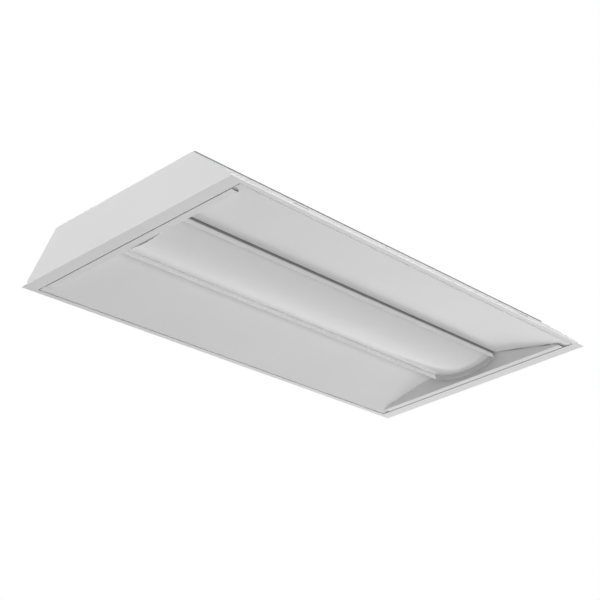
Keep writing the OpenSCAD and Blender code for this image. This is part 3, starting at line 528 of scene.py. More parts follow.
def anticlockwise(outline):
    """The outline in that order, so that the faces made from it look outwards."""
    area = sum(
        a[0] * b[1] - b[0] * a[1] for a, b in zip(outline, outline[1:] + outline[:1])
    )
    return outline if area > 0 else outline[::-1]


def piece(name, points, faces):
    """A mesh object from points in millimetres."""
    mesh = bpy.data.meshes.new(name)
    mesh.from_pydata([tuple(c * MM for c in p) for p in points], [], faces)
    mesh.validate()
    made = bpy.data.objects.new(name, mesh)
    bpy.context.scene.collection.objects.link(made)
    return made


def bundle(name, shapes):
    """One piece from several shapes, each given as (points, faces)."""
    points, faces = [], []
    for shape_points, shape_faces in shapes:
        start = len(points)
        points += shape_points
        faces += [tuple(start + k for k in face) for face in shape_faces]
    return piece(name, points, faces)


def run_faces(count, rings):
    """Faces of a closed shape that runs through rings of points, count to a ring."""
    last = (rings - 1) * count
    faces = [tuple(range(count))[::-1], tuple(range(last, last + count))]
    for start in range(0, last, count):
        for k in range(count):
            n = (k + 1) % count
            faces.append((start + k, start + n, start + count + n, start + count + k))
    return faces


def long_run(name, outline, stations, place=None):
    """Runs an outline (y, z) along X through the stations. place can move each point."""
    outline = anticlockwise(outline)
    place = place or (lambda x, y, z: (x, y, z))
    points = [place(x, y, z) for x in stations for y, z in outline]
    return piece(name, points, run_faces(len(outline), len(stations)))


def settle(made):
    """Replaces the mesh by what its modifiers make of it."""
    bpy.context.view_layer.update()
    ready = made.evaluated_get(bpy.context.evaluated_depsgraph_get())
    mesh = bpy.data.meshes.new_from_object(ready)
    made.modifiers.clear()
    made.data = mesh
    return made


def soften(made, width):
    """Rounds the sharp edges a little, as any worked edge is."""
    bevel = made.modifiers.new("rounding", "BEVEL")
    bevel.width = width * MM
    bevel.segments = 2
    bevel.limit_method = "ANGLE"
    bevel.angle_limit = math.radians(30)
    bevel.use_clamp_overlap = True
    bevel.harden_normals = True
    return settle(made)


def softened(node, width):
    """A copy of a CAD node with clean faces and slightly rounded edges."""
    mesh = nodes[node].data.copy()
    mesh.name = node + "_soft"
    clean = bmesh.new()
    clean.from_mesh(mesh)
    bmesh.ops.remove_doubles(clean, verts=clean.verts, dist=0.002 * MM)
    bmesh.ops.dissolve_limit(
        clean, angle_limit=math.radians(0.4), verts=clean.verts, edges=clean.edges
    )
    clean.to_mesh(mesh)
    clean.free()
    made = bpy.data.objects.new(node + "_piece", mesh)
    bpy.context.scene.collection.objects.link(made)
    made.matrix_world = nodes[node].matrix_world.copy()
    shade(made)
    return soften(made, width)


def shade(made, angle=32):
    """Smooth shading, with edges sharper than the angle kept as edges."""
    mesh = made.data
    mesh.polygons.foreach_set("use_smooth", [True] * len(mesh.polygons))
    mesh.set_sharp_from_angle(angle=math.radians(angle))


def drill(made, cutters):
    """Cuts closed shapes, given as (points, faces) in millimetres, out of a piece."""
    tool = bundle(made.name + "_cutter", cutters)
    cut = made.modifiers.new("cut", "BOOLEAN")
    cut.object = tool
    cut.operation = "DIFFERENCE"
    cut.solver = "EXACT"
    settle(made)
    bpy.data.objects.remove(tool)
    return made


def rod(place, axis, radius, length, sides=32):
    """Points and faces of a round bar, from place along axis."""
    axis = Vector(axis).normalized()
    side = axis.orthogonal().normalized()
    other = axis.cross(side)
    points = []
    for reach in (0, length):
        for k in range(sides):
            turn = 2 * math.pi * k / sides
            points.append(
                tuple(
                    Vector(place) + axis * reach
                    + side * (radius * math.cos(turn)) + other * (radius * math.sin(turn))
                )
            )
    return points, run_faces(sides, 2)


def bar(low, high):
    """Points and faces of a block between two corners."""
    (x0, y0, z0), (x1, y1, z1) = low, high
    points = [(x, y, z) for x in (x0, x1) for y in (y0, y1) for z in (z0, z1)]
    faces = [(0, 1, 3, 2), (4, 6, 7, 5), (0, 4, 5, 1), (2, 3, 7, 6), (0, 2, 6, 4), (1, 5, 7, 3)]
    return points, faces


def turned(profile, sides=28):
    """Points and faces of a profile (radius, height) turned round Z. It runs from low to high,
    and a radius of 0 closes it in a point."""
    points, rings = [], []
    for radius, height in profile:
        if radius <= 0:
            rings.append([len(points)] * sides)
            points.append((0, 0, height))
        else:
            rings.append([len(points) + k for k in range(sides)])
            points += [
                (
                    radius * math.cos(2 * math.pi * k / sides),
                    radius * math.sin(2 * math.pi * k / sides),
                    height,
                )
                for k in range(sides)
            ]
    faces = []
    for low, high in zip(rings, rings[1:]):
        for k in range(sides):
            n = (k + 1) % sides
            face = []
            for corner in (low[k], low[n], high[n], high[k]):
                if corner not in face:
                    face.append(corner)
            if len(face) > 2:
                faces.append(tuple(face))
    return points, faces


def copies(name, pattern, places):
    """One piece with a copy of the pattern (points, faces) at each 4x4 place, in millimetres."""
    points, faces = pattern
    return bundle(name, [([tuple(place @ Vector(p)) for p in points], faces) for place in places])


def shape_of(made):
    """Points and faces of a piece in millimetres, and the piece goes."""
    mesh = made.data
    points = [tuple(c / MM for c in v.co) for v in mesh.vertices]
    faces = [tuple(p.vertices) for p in mesh.polygons]
    bpy.data.objects.remove(made)
    return points, faces


def at(x, y, z, turn=0.0):
    """A place turned about Z, in degrees."""
    return Matrix.Translation((x, y, z)) @ Matrix.Rotation(math.radians(turn), 4, "Z")


def on_wall(x, s, side):
    """A place on the sloping wall, s up from the lip, with Z out of the wall."""
    return Matrix.Translation(
        (x, side * (LIP_Y - s * math.cos(WALL_ANGLE)), LIP_TOP + s * math.sin(WALL_ANGLE))
    ) @ Matrix.Rotation(-side * WALL_ANGLE, 4, "X")


def fit(made, *stands_for, finish_name=None, angle=32):
    """Gives a piece its finish and the body that carries it. Its flat faces stay flat in the
    light beside their rounded edges."""
    first = stands_for[0]
    shade(made, angle)
    flat = made.modifiers.new("flat_faces", "WEIGHTED_NORMAL")
    flat.mode = "FACE_AREA"
    flat.weight = 80
    flat.keep_sharp = True
    settle(made)
    made.data.materials.clear()
    made.data.materials.append(FINISHES[finish_name or slot_of[first]])
    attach(made, body_of[first])
    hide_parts(*stands_for)
    return made


# Housing

WALL_DROP = SHEET * (math.sqrt(1 + WALL_RISE ** 2) - WALL_RISE)
ROOF_IN_Y = LIP_Y - (ROOF_IN - LIP_TOP + SHEET * math.sqrt(1 + WALL_RISE ** 2)) / WALL_RISE
HANGERS = [(x, y) for x in (-560, 560) for y in (-170, 170)]
ACCESS_OPENING = ((318, -174), (402, -122))
HANGER_R = 2.5
CUT_OVER = 0.04  # the ends are cut this far above the flange, so that no two faces coincide
BEADS = ((125, -500, 500), (20, -470, 470), (-85, -470, 240))
BEAD_W, BEAD_H, BEAD_ROOT, BEAD_END = 16.0, 1.4, 0.3, 24.0
# Size and place of the dark bead that paints the shade line along the roof's edges
SEAM_W, SEAM_H, SEAM_END = 7.0, 2.2, 3.0
SEAM_OUT, SEAM_DOWN = 1.2, 1.1


def make_pan():
    """One folded sheet: ceiling flanges, lips, sloping walls and roof, with rounded bends."""
    outer = [
        (SIDE_FLANGE_IN, 0, 0.25), (FLANGE_Y, 0, 0.35), (FLANGE_Y, SHEET, 0.35),
        (LIP_Y, SHEET, 0.5), (LIP_Y, LIP_TOP, 1.8), (ROOF_Y, ROOF_TOP, 1.8),
    ]
    inner = [
        (ROOF_IN_Y, ROOF_IN, 1.0), (LIP_Y - SHEET, LIP_TOP - WALL_DROP, 1.0),
        (LIP_Y - SHEET, SHEET, 0.2), (SIDE_FLANGE_IN, SHEET, 0.25),
    ]

    def mirrored(part):
        return [(-y, z, r) for y, z, r in part][::-1]

    pan = long_run(
        "pan", rounded(outer + mirrored(outer) + mirrored(inner) + inner), (-PAN_X, PAN_X)
    )
    cuts = [rod((x, y, ROOF_IN - 2), (0, 0, 1), HANGER_R, 5) for x, y in HANGERS]
    (x0, y0), (x1, y1) = ACCESS_OPENING
    cuts.append(bar((x0, y0, ROOF_IN - 2), (x1, y1, ROOF_TOP + 2)))
    for side in (-1, 1):
        ends = sorted((side * END_FLANGE_IN, side * (PAN_X + 5)))
        past = FLANGE_Y + 10
        cuts.append(bar((ends[0], -past, -2), (ends[1], past, SHEET + CUT_OVER)))
    drill(pan, cuts)
    fit(pan, "housing_pan")


def make_roof_beads():
    """Low stiffening beads pressed up in the roof: round in section, with run-out ends. The one
    on the access plate's side stops short of where the plate swings."""
    shapes = []
    for middle, x0, x1 in BEADS:
        arc = [math.sin(math.pi * k / 20) for k in range(-10, 11)]
        crown = [(middle + u * BEAD_W / 2, BEAD_H * math.cos(u * math.pi / 2) ** 2) for u in arc]
        outline = crown + [(crown[-1][0], -BEAD_ROOT), (crown[0][0], -BEAD_ROOT)]

        def run_out(x, y, z):
            swell = math.sin(min(1.0, (x - x0) / BEAD_END, (x1 - x) / BEAD_END) * math.pi / 2) ** 2
            return x, y, ROOF_TOP + z * max(swell, 0.01)

        near_end = [BEAD_END * k / 6 for k in range(7)]
        stations = [x0 + s for s in near_end] + [x1 - s for s in near_end[::-1]]
        shapes.append(shape_of(long_run("bead", outline, stations, run_out)))
    fit(bundle("roof_beads", shapes), "housing_pan", angle=60)


def make_roof_edge_shade():
    """A dark grey bead along each folded edge between the roof and the sloping walls: painted shade
    that stands for the shadow line at the roof's edges.
    """
    for name, side in (("roof_seam_near", -1), ("roof_seam_far", 1)):
        outline = []
        for step in range(13):
            turn = math.pi * step / 12
            along = SEAM_W * math.cos(turn) / 2
            out = SEAM_H * math.sin(turn)
            y = ROOF_Y + SEAM_OUT - along * math.cos(WALL_ANGLE) + out * math.sin(WALL_ANGLE)
            z = ROOF_TOP - SEAM_DOWN + along * math.sin(WALL_ANGLE) + out * math.cos(WALL_ANGLE)
            outline.append((side * y, z))
        fit(
            long_run(name, outline, (SEAM_END - PAN_X, PAN_X - SEAM_END)), "housing_pan",
            finish_name="seam_sealer",
        )


# Reflector door

HIP_GAP = 0.2


def side_panel_outline(side):
    """A thin sheet: fold beside the collar, bowed face, and an edge rolled round the pins."""
    path = [(SEAT_Y, FOLD_TOP - SHEET / 2), (FOLD_Y + SHEET / 2, FOLD_TOP - SHEET / 2, 0.9)]
    path.append((FOLD_Y + SHEET / 2, panel_height(FOLD_Y + SHEET / 2) + SHEET / 2, 0.9))
    for y in range(96, 284, 6):
        path.append((y, panel_height(y) + SHEET / 2))
    radius = HEM_R - SHEET / 2
    for turn in range(-104, 192, 11):
        path.append(
            (
                HEM_Y + radius * math.cos(math.radians(turn)),
                HEM_Z + radius * math.sin(math.radians(turn)),
            )
        )
    return [(side * y, z) for y, z in folded(path, SHEET)]


def make_side_panels():
    for node, side in (("side_panel_near", -1), ("side_panel_far", 1)):
        panel = long_run(node + "_piece", side_panel_outline(side), (-DOOR_X, DOOR_X))
        fit(panel, node, angle=28)


def make_end_tabs():
    """Small tabs turned down at the ends of the side panels, beside the end strips."""
    for node, side in (("side_panel_near", -1), ("side_panel_far", 1)):
        for end in (-1, 1):
            ys = [STRIP_END + 0.4 + 2 * k for k in range(10)]
            upper = [(y, panel_height(y) + SHEET / 2) for y in ys]
            lower = [(y, min(1.0, panel_height(y))) for y in ys[::-1]]
            outline = [(side * y, z) for y, z in upper + lower]
            tab = long_run(
                node + ("_tab_left" if end < 0 else "_tab_right"), outline,
                sorted((end * (DOOR_X - SHEET), end * DOOR_X)),
            )
            fit(tab, node)


def hip_y(z):
    """Half width of an end panel at a height: it stops at the faces of the side panels."""
    height = z + HIP_GAP
    if height >= PANEL_RISE:
        return FOLD_Y - HIP_GAP
    bow, rise = 4 * PANEL_BOW, PANEL_RISE + 4 * PANEL_BOW
    s = (rise - math.sqrt(rise ** 2 - 4 * bow * height)) / (2 * bow)
    return min(STRIP_END, HEM_Y - (HEM_Y - FOLD_Y) * s)


def make_end_panels():
    slope = (STRIP_X - FOLD_X) / PANEL_RISE
    face = [(STRIP_X - slope * z, z) for z in (4.5, 9, 14, 19, 24, 29, 34)]
    outline = rounded(
        [(DOOR_X, 0, 1.3), (STRIP_X, 0, 1.3)] + face
        + [
            (FOLD_X, PANEL_RISE, 2), (FOLD_X, FOLD_TOP, 1.2), (SEAT_X, FOLD_TOP, 0.3),
            (SEAT_X, FOLD_TOP - SHEET, 0.3), (FOLD_X + SHEET, FOLD_TOP - SHEET, 0.4),
            (FOLD_X + SHEET, PANEL_RISE, 2),
        ]
        + [(x + SHEET, z) for x, z in face[::-1]]
        + [
            (STRIP_X + SHEET, SHEET, 0.5), (DOOR_X - SHEET, SHEET, 0.5), (DOOR_X - SHEET, 5, 0.3),
            (DOOR_X, 5, 0.3),
        ]
    )
    for node, end in (("end_panel_left", -1), ("end_panel_right", 1)):
        points = [(end * x, t * hip_y(z), z) for t in (-1, 1) for x, z in outline]
        count = len(outline)
        faces = [tuple(range(count)), tuple(range(count, 2 * count))[::-1]]
        faces += [(k, count + k, count + (k + 1) % count, (k + 1) % count) for k in range(count)]
        panel = piece(node + "_piece", points, faces)
        clean = bmesh.new()
        clean.from_mesh(panel.data)
        bmesh.ops.recalc_face_normals(clean, faces=clean.faces)
        clean.to_mesh(panel.data)
        clean.free()
        fit(panel, node, angle=28)


def make_rails():
    """Collar rails: an upright face with a flattened hem on its lower edge."""
    low = bow_height(RAIL_Y)
    for node, side in (("collar_rail_near", -1), ("collar_rail_far", 1)):
        outline = rounded([
            (RAIL_Y, low, 0.65), (RAIL_Y, FOLD_TOP, 0.4), (SEAT_Y, FOLD_TOP, 0.3),
            (SEAT_Y, RAIL_TOP, 0.3), (RAIL_IN, RAIL_TOP, 1.0), (RAIL_IN, low + 3, 0.2),
            (RAIL_IN - 0.6, low + 3, 0.25), (RAIL_IN - 0.6, low, 0.65),
        ])
        rail = long_run(
            node + "_piece", [(side * y, z) for y, z in outline], (-RAIL_X, RAIL_X)
        )
        fit(rail, node)


def make_lens():
    """A bowed acrylic sheet with upturned edges and a flange over the rails."""
    centre = LENS_LOW + BOW_R
    edge = math.asin((LENS_Y - 1.6) / BOW_R)
    under = [
        (BOW_R * math.sin(edge * k / 24), centre - BOW_R * math.cos(edge * k / 24))
        for k in range(-24, 25)
    ]
    over_edge = math.asin((LENS_Y - LENS_T - 0.6) / (BOW_R - LENS_T))
    over = [
        (
            (BOW_R - LENS_T) * math.sin(over_edge * k / 24),
            centre - (BOW_R - LENS_T) * math.cos(over_edge * k / 24),
        )
        for k in range(24, -25, -1)
    ]
    corner = centre - math.sqrt(BOW_R ** 2 - LENS_Y ** 2)
    inside = centre - math.sqrt((BOW_R - LENS_T) ** 2 - (LENS_Y - LENS_T) ** 2)
    right = [
        (LENS_Y, corner, 1.8), (LENS_Y, RAIL_TOP, 0.4), (LENS_Y + LENS_FLANGE, RAIL_TOP, 0.5),
        (LENS_Y + LENS_FLANGE, RAIL_TOP + LENS_T, 0.5), (LENS_Y - LENS_T, RAIL_TOP + LENS_T, 1.8),
        (LENS_Y - LENS_T, inside, 0.5),
    ]
    left = [(-y, z, r) for y, z, r in right][::-1]
    outline = rounded(under + right + over + left)
    fit(long_run("lens_piece", outline, (-LENS_X, LENS_X)), "lens", angle=25)


# Light box, boards and wireway


def make_light_box():
    """The tray above the lens that carries the boards, with the grommet's hole in its wall."""
    wall_angle = math.atan((ROOF_IN - BOX_FOOT) / (BOX_MOUTH - BOX_ROOF))
    shift = SHEET / math.sin(wall_angle)
    slant = SHEET / math.tan(wall_angle)
    outer = [
        (BOX_MOUTH - shift, BOX_FOOT, 1.0), (BOX_FOOT_Y, BOX_FOOT, 0.3),
        (BOX_FOOT_Y, BOX_FOOT + SHEET, 0.3), (BOX_MOUTH - slant, BOX_FOOT + SHEET, 0.5),
        (BOX_ROOF, ROOF_IN, 1.6),
    ]
    inner = (BOX_ROOF - shift + slant, BOARD_TOP, 0.9)
    outline = (
        outer + [(-y, z, r) for y, z, r in outer][::-1]
        + [(-inner[0], inner[1], inner[2]), inner]
    )
    box = long_run("light_box_piece", rounded(outline), (-BOX_X, BOX_X))
    normal = (0, -math.sin(wall_angle), math.cos(wall_angle))
    start = Vector((GROMMET_X, GROMMET_Y, GROMMET_Z)) - Vector(normal) * 5
    drill(box, [rod(start, normal, GROMMET_R, 10)])
    fit(box, "light_box")


def make_wireway():
    """The cover of the driver and the wires, with a window beside the grommet."""
    outer = [
        (COVER_Y1 + COVER_TAB, ROOF_IN, 0.3), (COVER_Y1 - SHEET, ROOF_IN, 1.2),
        (COVER_Y1 - SHEET, COVER_LOW + SHEET, 0.5), (COVER_Y0 + SHEET, COVER_LOW + SHEET, 0.5),
        (COVER_Y0 + SHEET, ROOF_IN, 1.2), (COVER_Y0 - COVER_TAB, ROOF_IN, 0.3),
        (COVER_Y0 - COVER_TAB, ROOF_IN - SHEET, 0.3), (COVER_Y0, ROOF_IN - SHEET, 0.5),
        (COVER_Y0, COVER_LOW, 1.3), (COVER_Y1, COVER_LOW, 1.3), (COVER_Y1, ROOF_IN - SHEET, 0.5),
        (COVER_Y1 + COVER_TAB, ROOF_IN - SHEET, 0.3),
    ]
    cover = long_run("wireway_piece", rounded(outer), (COVER_X0, COVER_X1))
    window_low = (GROMMET_X - 14, COVER_Y1 - 2, GROMMET_Z - 12)
    window_high = (GROMMET_X + 14, COVER_Y1 + 2, GROMMET_Z + 8)
    drill(cover, [bar(window_low, window_high)])
    fit(cover, "wireway_cover")


def make_leds():
    """Each package is a white tray with a yellow phosphor window in its lower face."""
    half, low = LED_W / 2, -LED_H
    rim = half - 0.35

    def rings(*levels):
        square = [(-1, -1), (1, -1), (1, 1), (-1, 1)]
        return [(x * reach, y * reach, height) for reach, height in levels for x, y in square]

    tray = rings(
        (half, 0), (half, low + 0.12), (half - 0.12, low), (rim, low), (rim - 0.1, low + 0.3)
    )
    faces = [(0, 1, 2, 3)]
    for level in range(4):
        for k in range(4):
            n = (k + 1) % 4
            faces.append((level * 4 + k, level * 4 + 4 + k, level * 4 + 4 + n, level * 4 + n))
    faces.append((19, 18, 17, 16))
    window = rings((rim - 0.06, low + 0.16), (rim - 0.35, low + 0.08), (rim - 0.06, low + 0.29))
    window_faces = [(7, 6, 5, 4), (8, 9, 10, 11)]
    for k in range(4):
        n = (k + 1) % 4
        window_faces += [(k, 4 + k, 4 + n, n), (8 + k, k, n, 8 + n)]
    places = [
        at(sx * BOARD_MID + (i + 0.5 - LED_N / 2) * LED_PITCH, sy * ROW_Y, BOARD_LOW)
        for sx in (-1, 1) for sy in (-1, 1) for i in range(LED_N)
    ]
    fit(copies("led_trays", (tray, faces), places), "led_packages", finish_name="led_body")
    fit(copies("led_windows", (window, window_faces), places), "led_packages")


# Screws and rivets

THREAD_PITCH = 0.8
BOX_SCREW_X, BOX_SCREW_Y, BOX_END_SCREW_X = (-500, -250, 0, 250, 500), 60, 562
COVER_SCREW_IN = 5.5
CORNER_RIVET_X, CORNER_RIVET_UP = 591.5, (34, 92)
CLIP_X, CLIP_UP, CLIP_SHEET, CLIP_HEAD = 400, 22, 1.2, 0.8
COLLAR_RIVET_X, COLLAR_RIVET_Y = (-480, -240, 0, 240, 480), 102.4
COLLAR_END_RIVET_X, COLLAR_END_RIVET_Y = 556.6, 60


def pan_head(radius, height, shank, length):
    """A self-tapping screw with its head below z = 0, a cross recess and a threaded shank."""
    profile = [
        (0, -height), (radius * 0.45, -height * 0.98), (radius * 0.78, -height * 0.8),
        (radius * 0.95, -height * 0.45), (radius, -height * 0.15), (radius * 0.97, 0), (shank, 0),
    ]
    z = 0.0
    while z < length - 1.1:
        profile += [(shank, z + 0.12), (shank * 0.8, z + 0.4), (shank * 0.8, z + 0.5)]
        z += THREAD_PITCH
    profile += [(shank * 0.86, length - 0.7), (shank * 0.45, length - 0.15), (0, length)]
    master = piece("screw_master", *turned(profile))
    size, width = radius * 0.55, radius * 0.14
    for x, y in ((size, width), (width, size)):
        drill(master, [bar((-x, -y, -height - 1), (x, y, -height * 0.42))])
    return shape_of(master)


def make_screws():
    turns = random.Random(4)

    def screws(node, pattern, spots):
        fit(copies(node + "_piece", pattern, [at(*s, turns.uniform(0, 90)) for s in spots]), node)

    box = [(x, y, BOARD_TOP) for x in BOX_SCREW_X for y in (-BOX_SCREW_Y, BOX_SCREW_Y)]
    box += [(s * BOX_END_SCREW_X, y, BOARD_TOP) for s in (-1, 1) for y in (-ROW_Y, ROW_Y)]
    screws("light_box_screws", pan_head(3.5, 1.6, 2.0, 2.6), box)
    reach = 11 * LED_PITCH
    boards = [
        (sx * BOARD_MID + x, sy * ROW_Y, BOARD_LOW)
        for sx in (-1, 1) for sy in (-1, 1) for x in (-reach, 0, reach)
    ]
    screws("board_screws", pan_head(2.8, 1.4, 1.5, 2.4), boards)
    driver = [(side * DRIVER_SCREW_X, DRIVER_Y, DRIVER_SCREW_Z) for side in (-1, 1)]
    screws("driver_screws", pan_head(3.8, 1.8, 2.0, 2.8), driver)
    cover = [
        (COVER_X0 + f * (COVER_X1 - COVER_X0), y, ROOF_IN - SHEET)
        for f in (0.06, 0.5, 0.94) for y in (COVER_Y1 + COVER_SCREW_IN, COVER_Y0 - COVER_SCREW_IN)
    ]
    screws("cover_screws", pan_head(3.2, 1.6, 1.75, 2.6), cover)
    screws("ground_screw", pan_head(3.6, 2.0, 2.0, 2.6), [(GROUND_X, GROUND_Y, BOARD_TOP)])


def rivet(radius, head, drop, tail_radius, tail):
    """A blind rivet: a domed head above z = 0 with the mark of its pin, and the set tail."""
    profile = [
        (0, -drop - tail), (tail_radius * 0.7, -drop - tail * 0.95),
        (tail_radius, -drop - tail * 0.5), (tail_radius * 0.92, -drop), (radius, -drop),
        (radius, 0), (head, 0), (head, 0.25), (head * 0.86, 0.62), (head * 0.58, 0.9),
        (head * 0.4, 0.98), (head * 0.34, 0.75), (0, 0.6),
    ]
    return turned(profile)


def make_rivets():
    """Rivets of the end plates, of the grid clips, with flatter heads, and of the collar."""
    corner = [
        on_wall(end * CORNER_RIVET_X, up, side)
        for end in (-1, 1) for side in (-1, 1) for up in CORNER_RIVET_UP
    ]
    fit(copies("corner_rivets_piece", rivet(1.6, 3, 1.6, 2.6, 1), corner), "corner_rivets")
    clip = [
        on_wall(end * CLIP_X, CLIP_UP, side) @ Matrix.Translation((0, 0, CLIP_SHEET))
        for end in (-1, 1) for side in (-1, 1)
    ]
    points, faces = rivet(2, 3.6, 2.0, 3.2, 1)
    points = [(x, y, z * CLIP_HEAD if z > 0 else z) for x, y, z in points]
    fit(copies("clip_rivets_piece", (points, faces), clip), "clip_rivets")
    collar = [at(x, s * COLLAR_RIVET_Y, RAIL_TOP) for x in COLLAR_RIVET_X for s in (-1, 1)]
    collar += [
        at(s * COLLAR_END_RIVET_X, y, RAIL_TOP)
        for y in (-COLLAR_END_RIVET_Y, COLLAR_END_RIVET_Y) for s in (-1, 1)
    ]
    fit(copies("collar_rivets_piece", rivet(1.6, 3, 1.6, 2.6, 1), collar), "collar_rivets")


# Wires


def smooth_route(points):
    """A smooth curve through the points, as in the part's source."""
    route = []
    for i in range(len(points) - 1):
        p0, p1 = Vector(points[max(i - 1, 0)]), Vector(points[i])
        p2, p3 = Vector(points[i + 1]), Vector(points[min(i + 2, len(points) - 1)])
        for j in range(WIRE_STEPS):
            u = j / WIRE_STEPS
            route.append(
                0.5 * (
                    2 * p1 + (p2 - p0) * u + (2 * p0 - 5 * p1 + 4 * p2 - p3) * u * u
                    + (3 * p1 - p0 - 3 * p2 + p3) * u ** 3
                )
            )
    route.append(Vector(points[-1]))
    return route


def wire_shape(places):
    """Points and faces of a round wire through the places."""
    route = smooth_route(places)
    points, side = [], None
    for i, here in enumerate(route):
        along = (route[min(i + 1, len(route) - 1)] - route[max(i - 1, 0)]).normalized()
        side = along.orthogonal() if side is None else side - along * side.dot(along)
        side = side.normalized()
        other = along.cross(side)
        for k in range(WIRE_SIDES):
            turn = 2 * math.pi * k / WIRE_SIDES
            points.append(
                tuple(here + (side * math.cos(turn) + other * math.sin(turn)) * WIRE_R)
            )
    return points, run_faces(WIRE_SIDES, len(route))


def make_wires():
    run_y, run_z = -53.0, 95.2
    led = []
    for s in (-1, 1):
        hole_x, wire_y = GROMMET_X + 2 * s, run_y - 1.4 * s
        led.append(wire_shape([
            (-185, DRIVER_Y + 6 * s, OUTLET_Z), (-193, DRIVER_Y + 6 * s, OUTLET_Z),
            (-201, DRIVER_Y + 6 * s, OUTLET_Z), (-213, DRIVER_Y + 2 + 6 * s, OUTLET_Z),
            (-226 + 1.6 * s, -136 + 4 * s, 83.2), (hole_x, -121, 82.2),
            (hole_x, GROMMET_Y - 18, 85.2), (hole_x, GROMMET_Y - 7.2, 84.7),
            (hole_x, GROMMET_Y, GROMMET_Z), (hole_x, GROMMET_Y + 7.2, 77.7),
            (-218 + 1.6 * s, run_y - 6 - 1.6 * s, run_z - 8), (-190, wire_y, run_z),
            (-150, wire_y, run_z), (-70, wire_y, run_z), (2 * s - 42, wire_y, run_z),
            (2 * s - 27, -40 - 1.6 * s, 94.2), (-17, -ROW_Y - 1.6 * s, 94.8),
            (-13, -ROW_Y - 1.6 * s, 94.8), (-9, -ROW_Y - 1.6 * s, 94.8),
        ]))
    fit(bundle("led_wires_piece", led), "led_wires")
    line = []
    for s in (-1, 1):
        line.append(wire_shape([
            (185, DRIVER_Y + 6 * s, OUTLET_Z), (193, DRIVER_Y + 6 * s, OUTLET_Z),
            (199, DRIVER_Y + 6 * s, OUTLET_Z), (216, DRIVER_Y + 5.5 * s, 80.2),
            (242, -150 + 4 * s, 70), (266, -151 + 3 * s, PLUG_Z),
            (274, -151 + 3 * s, PLUG_Z), (PLUG_END_X, -151 + 3 * s, PLUG_Z),
        ]))
    fit(bundle("line_wires_piece", line), "line_wires")
    green_y = -142
    green = wire_shape([
        (237, GROUND_Y, 97.8), (244, GROUND_Y, 97.3), (254, -128, 90.4), (260, -136, 75),
        (268, green_y, PLUG_Z), (275, green_y, PLUG_Z), (PLUG_END_X, green_y, PLUG_Z),
    ])
    fit(bundle("ground_wire_piece", [green]), "ground_wire")
    turns = [math.radians(degrees) for degrees in range(30, 331, 15)]
    eye = rounded(
        [(9, -1.6, 0.4), (9, 1.6, 0.4), (4.2, 2.0, 1.0)]
        + [(4 * math.cos(turn), 4 * math.sin(turn)) for turn in turns] + [(4.2, -2.0, 1.0)]
    )
    heights = (BOARD_TOP, BOARD_TOP + SHEET)
    points = [(GROUND_X + x, GROUND_Y + y, z) for z in heights for x, y in eye]
    ring = piece("ground_eye", points, run_faces(len(eye), 2))
    drill(ring, [rod((GROUND_X, GROUND_Y, 97), (0, 0, 1), 2.05, 4)])
    fit(ring, "ground_wire", finish_name="zinc_steel")
    jumper = [rod((x, 31.5, 94.8), (0, -1, 0), WIRE_R, 63, 14) for x in (-2.4, 2.4)]
    fit(bundle("jumper_wires_piece", jumper), "jumper_wires")


# Parts that keep the shape of the CAD solid, with rounded edges

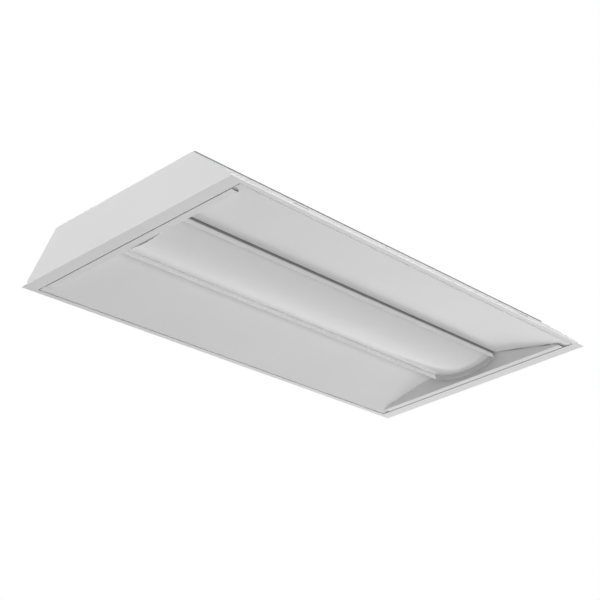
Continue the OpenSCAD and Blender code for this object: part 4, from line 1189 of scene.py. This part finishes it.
SOFT = {
    "end_plate_left": 0.25, "end_plate_right": 0.25, "light_box_end_left": 0.2,
    "light_box_end_right": 0.2, "collar_end_left": 0.25, "collar_end_right": 0.25,
    "led_board_1": 0.2, "led_board_2": 0.2, "led_board_3": 0.2, "led_board_4": 0.2,
    "board_connectors": 0.4, "driver_base": 0.2, "driver_case": 0.6, "driver_terminals": 0.5,
    "quick_disconnect_socket": 0.6, "quick_disconnect_plug": 0.6, "wire_grommet": 0.7,
    "wire_saddles": 0.4, "access_pivot_rivet": 0.35, "access_screw": 0.3, "access_plate": 0.25,
    "knockout_slug": 0.12, "hinge_brackets": 0.25, "latch_keepers": 0.2, "grid_clip_1": 0.22,
    "grid_clip_2": 0.22, "grid_clip_3": 0.22, "grid_clip_4": 0.22, "hinge_pins": 0.3,
    "latch_guides": 0.15, "latch_slide_left": 0.2, "latch_slide_right": 0.2,
}


def make_soft_parts():
    for node, width in SOFT.items():
        fit(softened(node, width), node)


# Stage

FLOOR_R, FLOOR_Z, FLOOR_SIDES = 60000, -2400, 48
FLOOR_GREY, FLOOR_SHOWN = 0.90, 0.8


def make_floor():
    """A pale floor far below. The camera sees most of it as plain light grey, with a soft shadow,
    and sees through its underside."""
    turns = [2 * math.pi * k / FLOOR_SIDES for k in range(FLOOR_SIDES)]
    rim = [(FLOOR_R * math.cos(turn), FLOOR_R * math.sin(turn), FLOOR_Z) for turn in turns]
    floor = piece("floor", rim, [tuple(range(FLOOR_SIDES))])
    skin = bpy.data.node_groups["moulded_skin"]
    paint = finish(
        "floor_paint", skin, (2400,), grey(0.76), grey(0.80), (0.75, 0.85), (0.05, 0.0001)
    )
    tree = paint.node_tree
    shown = tree.nodes.new("ShaderNodeEmission")
    shown.inputs["Color"].default_value = (*grey(FLOOR_GREY), 1)
    share = number(tree, "MULTIPLY", background_rays(tree), FLOOR_SHOWN)
    mix = tree.nodes.new("ShaderNodeMixShader")
    tree.links.new(share, mix.inputs[0])
    tree.links.new(tree.nodes["Principled BSDF"].outputs[0], mix.inputs[1])
    tree.links.new(shown.outputs[0], mix.inputs[2])
    clear = tree.nodes.new("ShaderNodeBsdfTransparent")
    one_sided = tree.nodes.new("ShaderNodeMixShader")
    underside = tree.nodes.new("ShaderNodeNewGeometry").outputs["Backfacing"]
    tree.links.new(underside, one_sided.inputs[0])
    tree.links.new(mix.outputs[0], one_sided.inputs[1])
    tree.links.new(clear.outputs[0], one_sided.inputs[2])
    tree.links.new(one_sided.outputs[0], tree.nodes["Material Output"].inputs["Surface"])
    floor.data.materials.append(paint)


make_camera()
make_lamps()
make_world()
make_finishes()
make_pan()
make_roof_beads()
make_roof_edge_shade()
make_side_panels()
make_end_tabs()
make_end_panels()
make_rails()
make_lens()
make_light_box()
make_wireway()
make_leds()
make_screws()
make_rivets()
make_wires()
make_soft_parts()
make_floor()
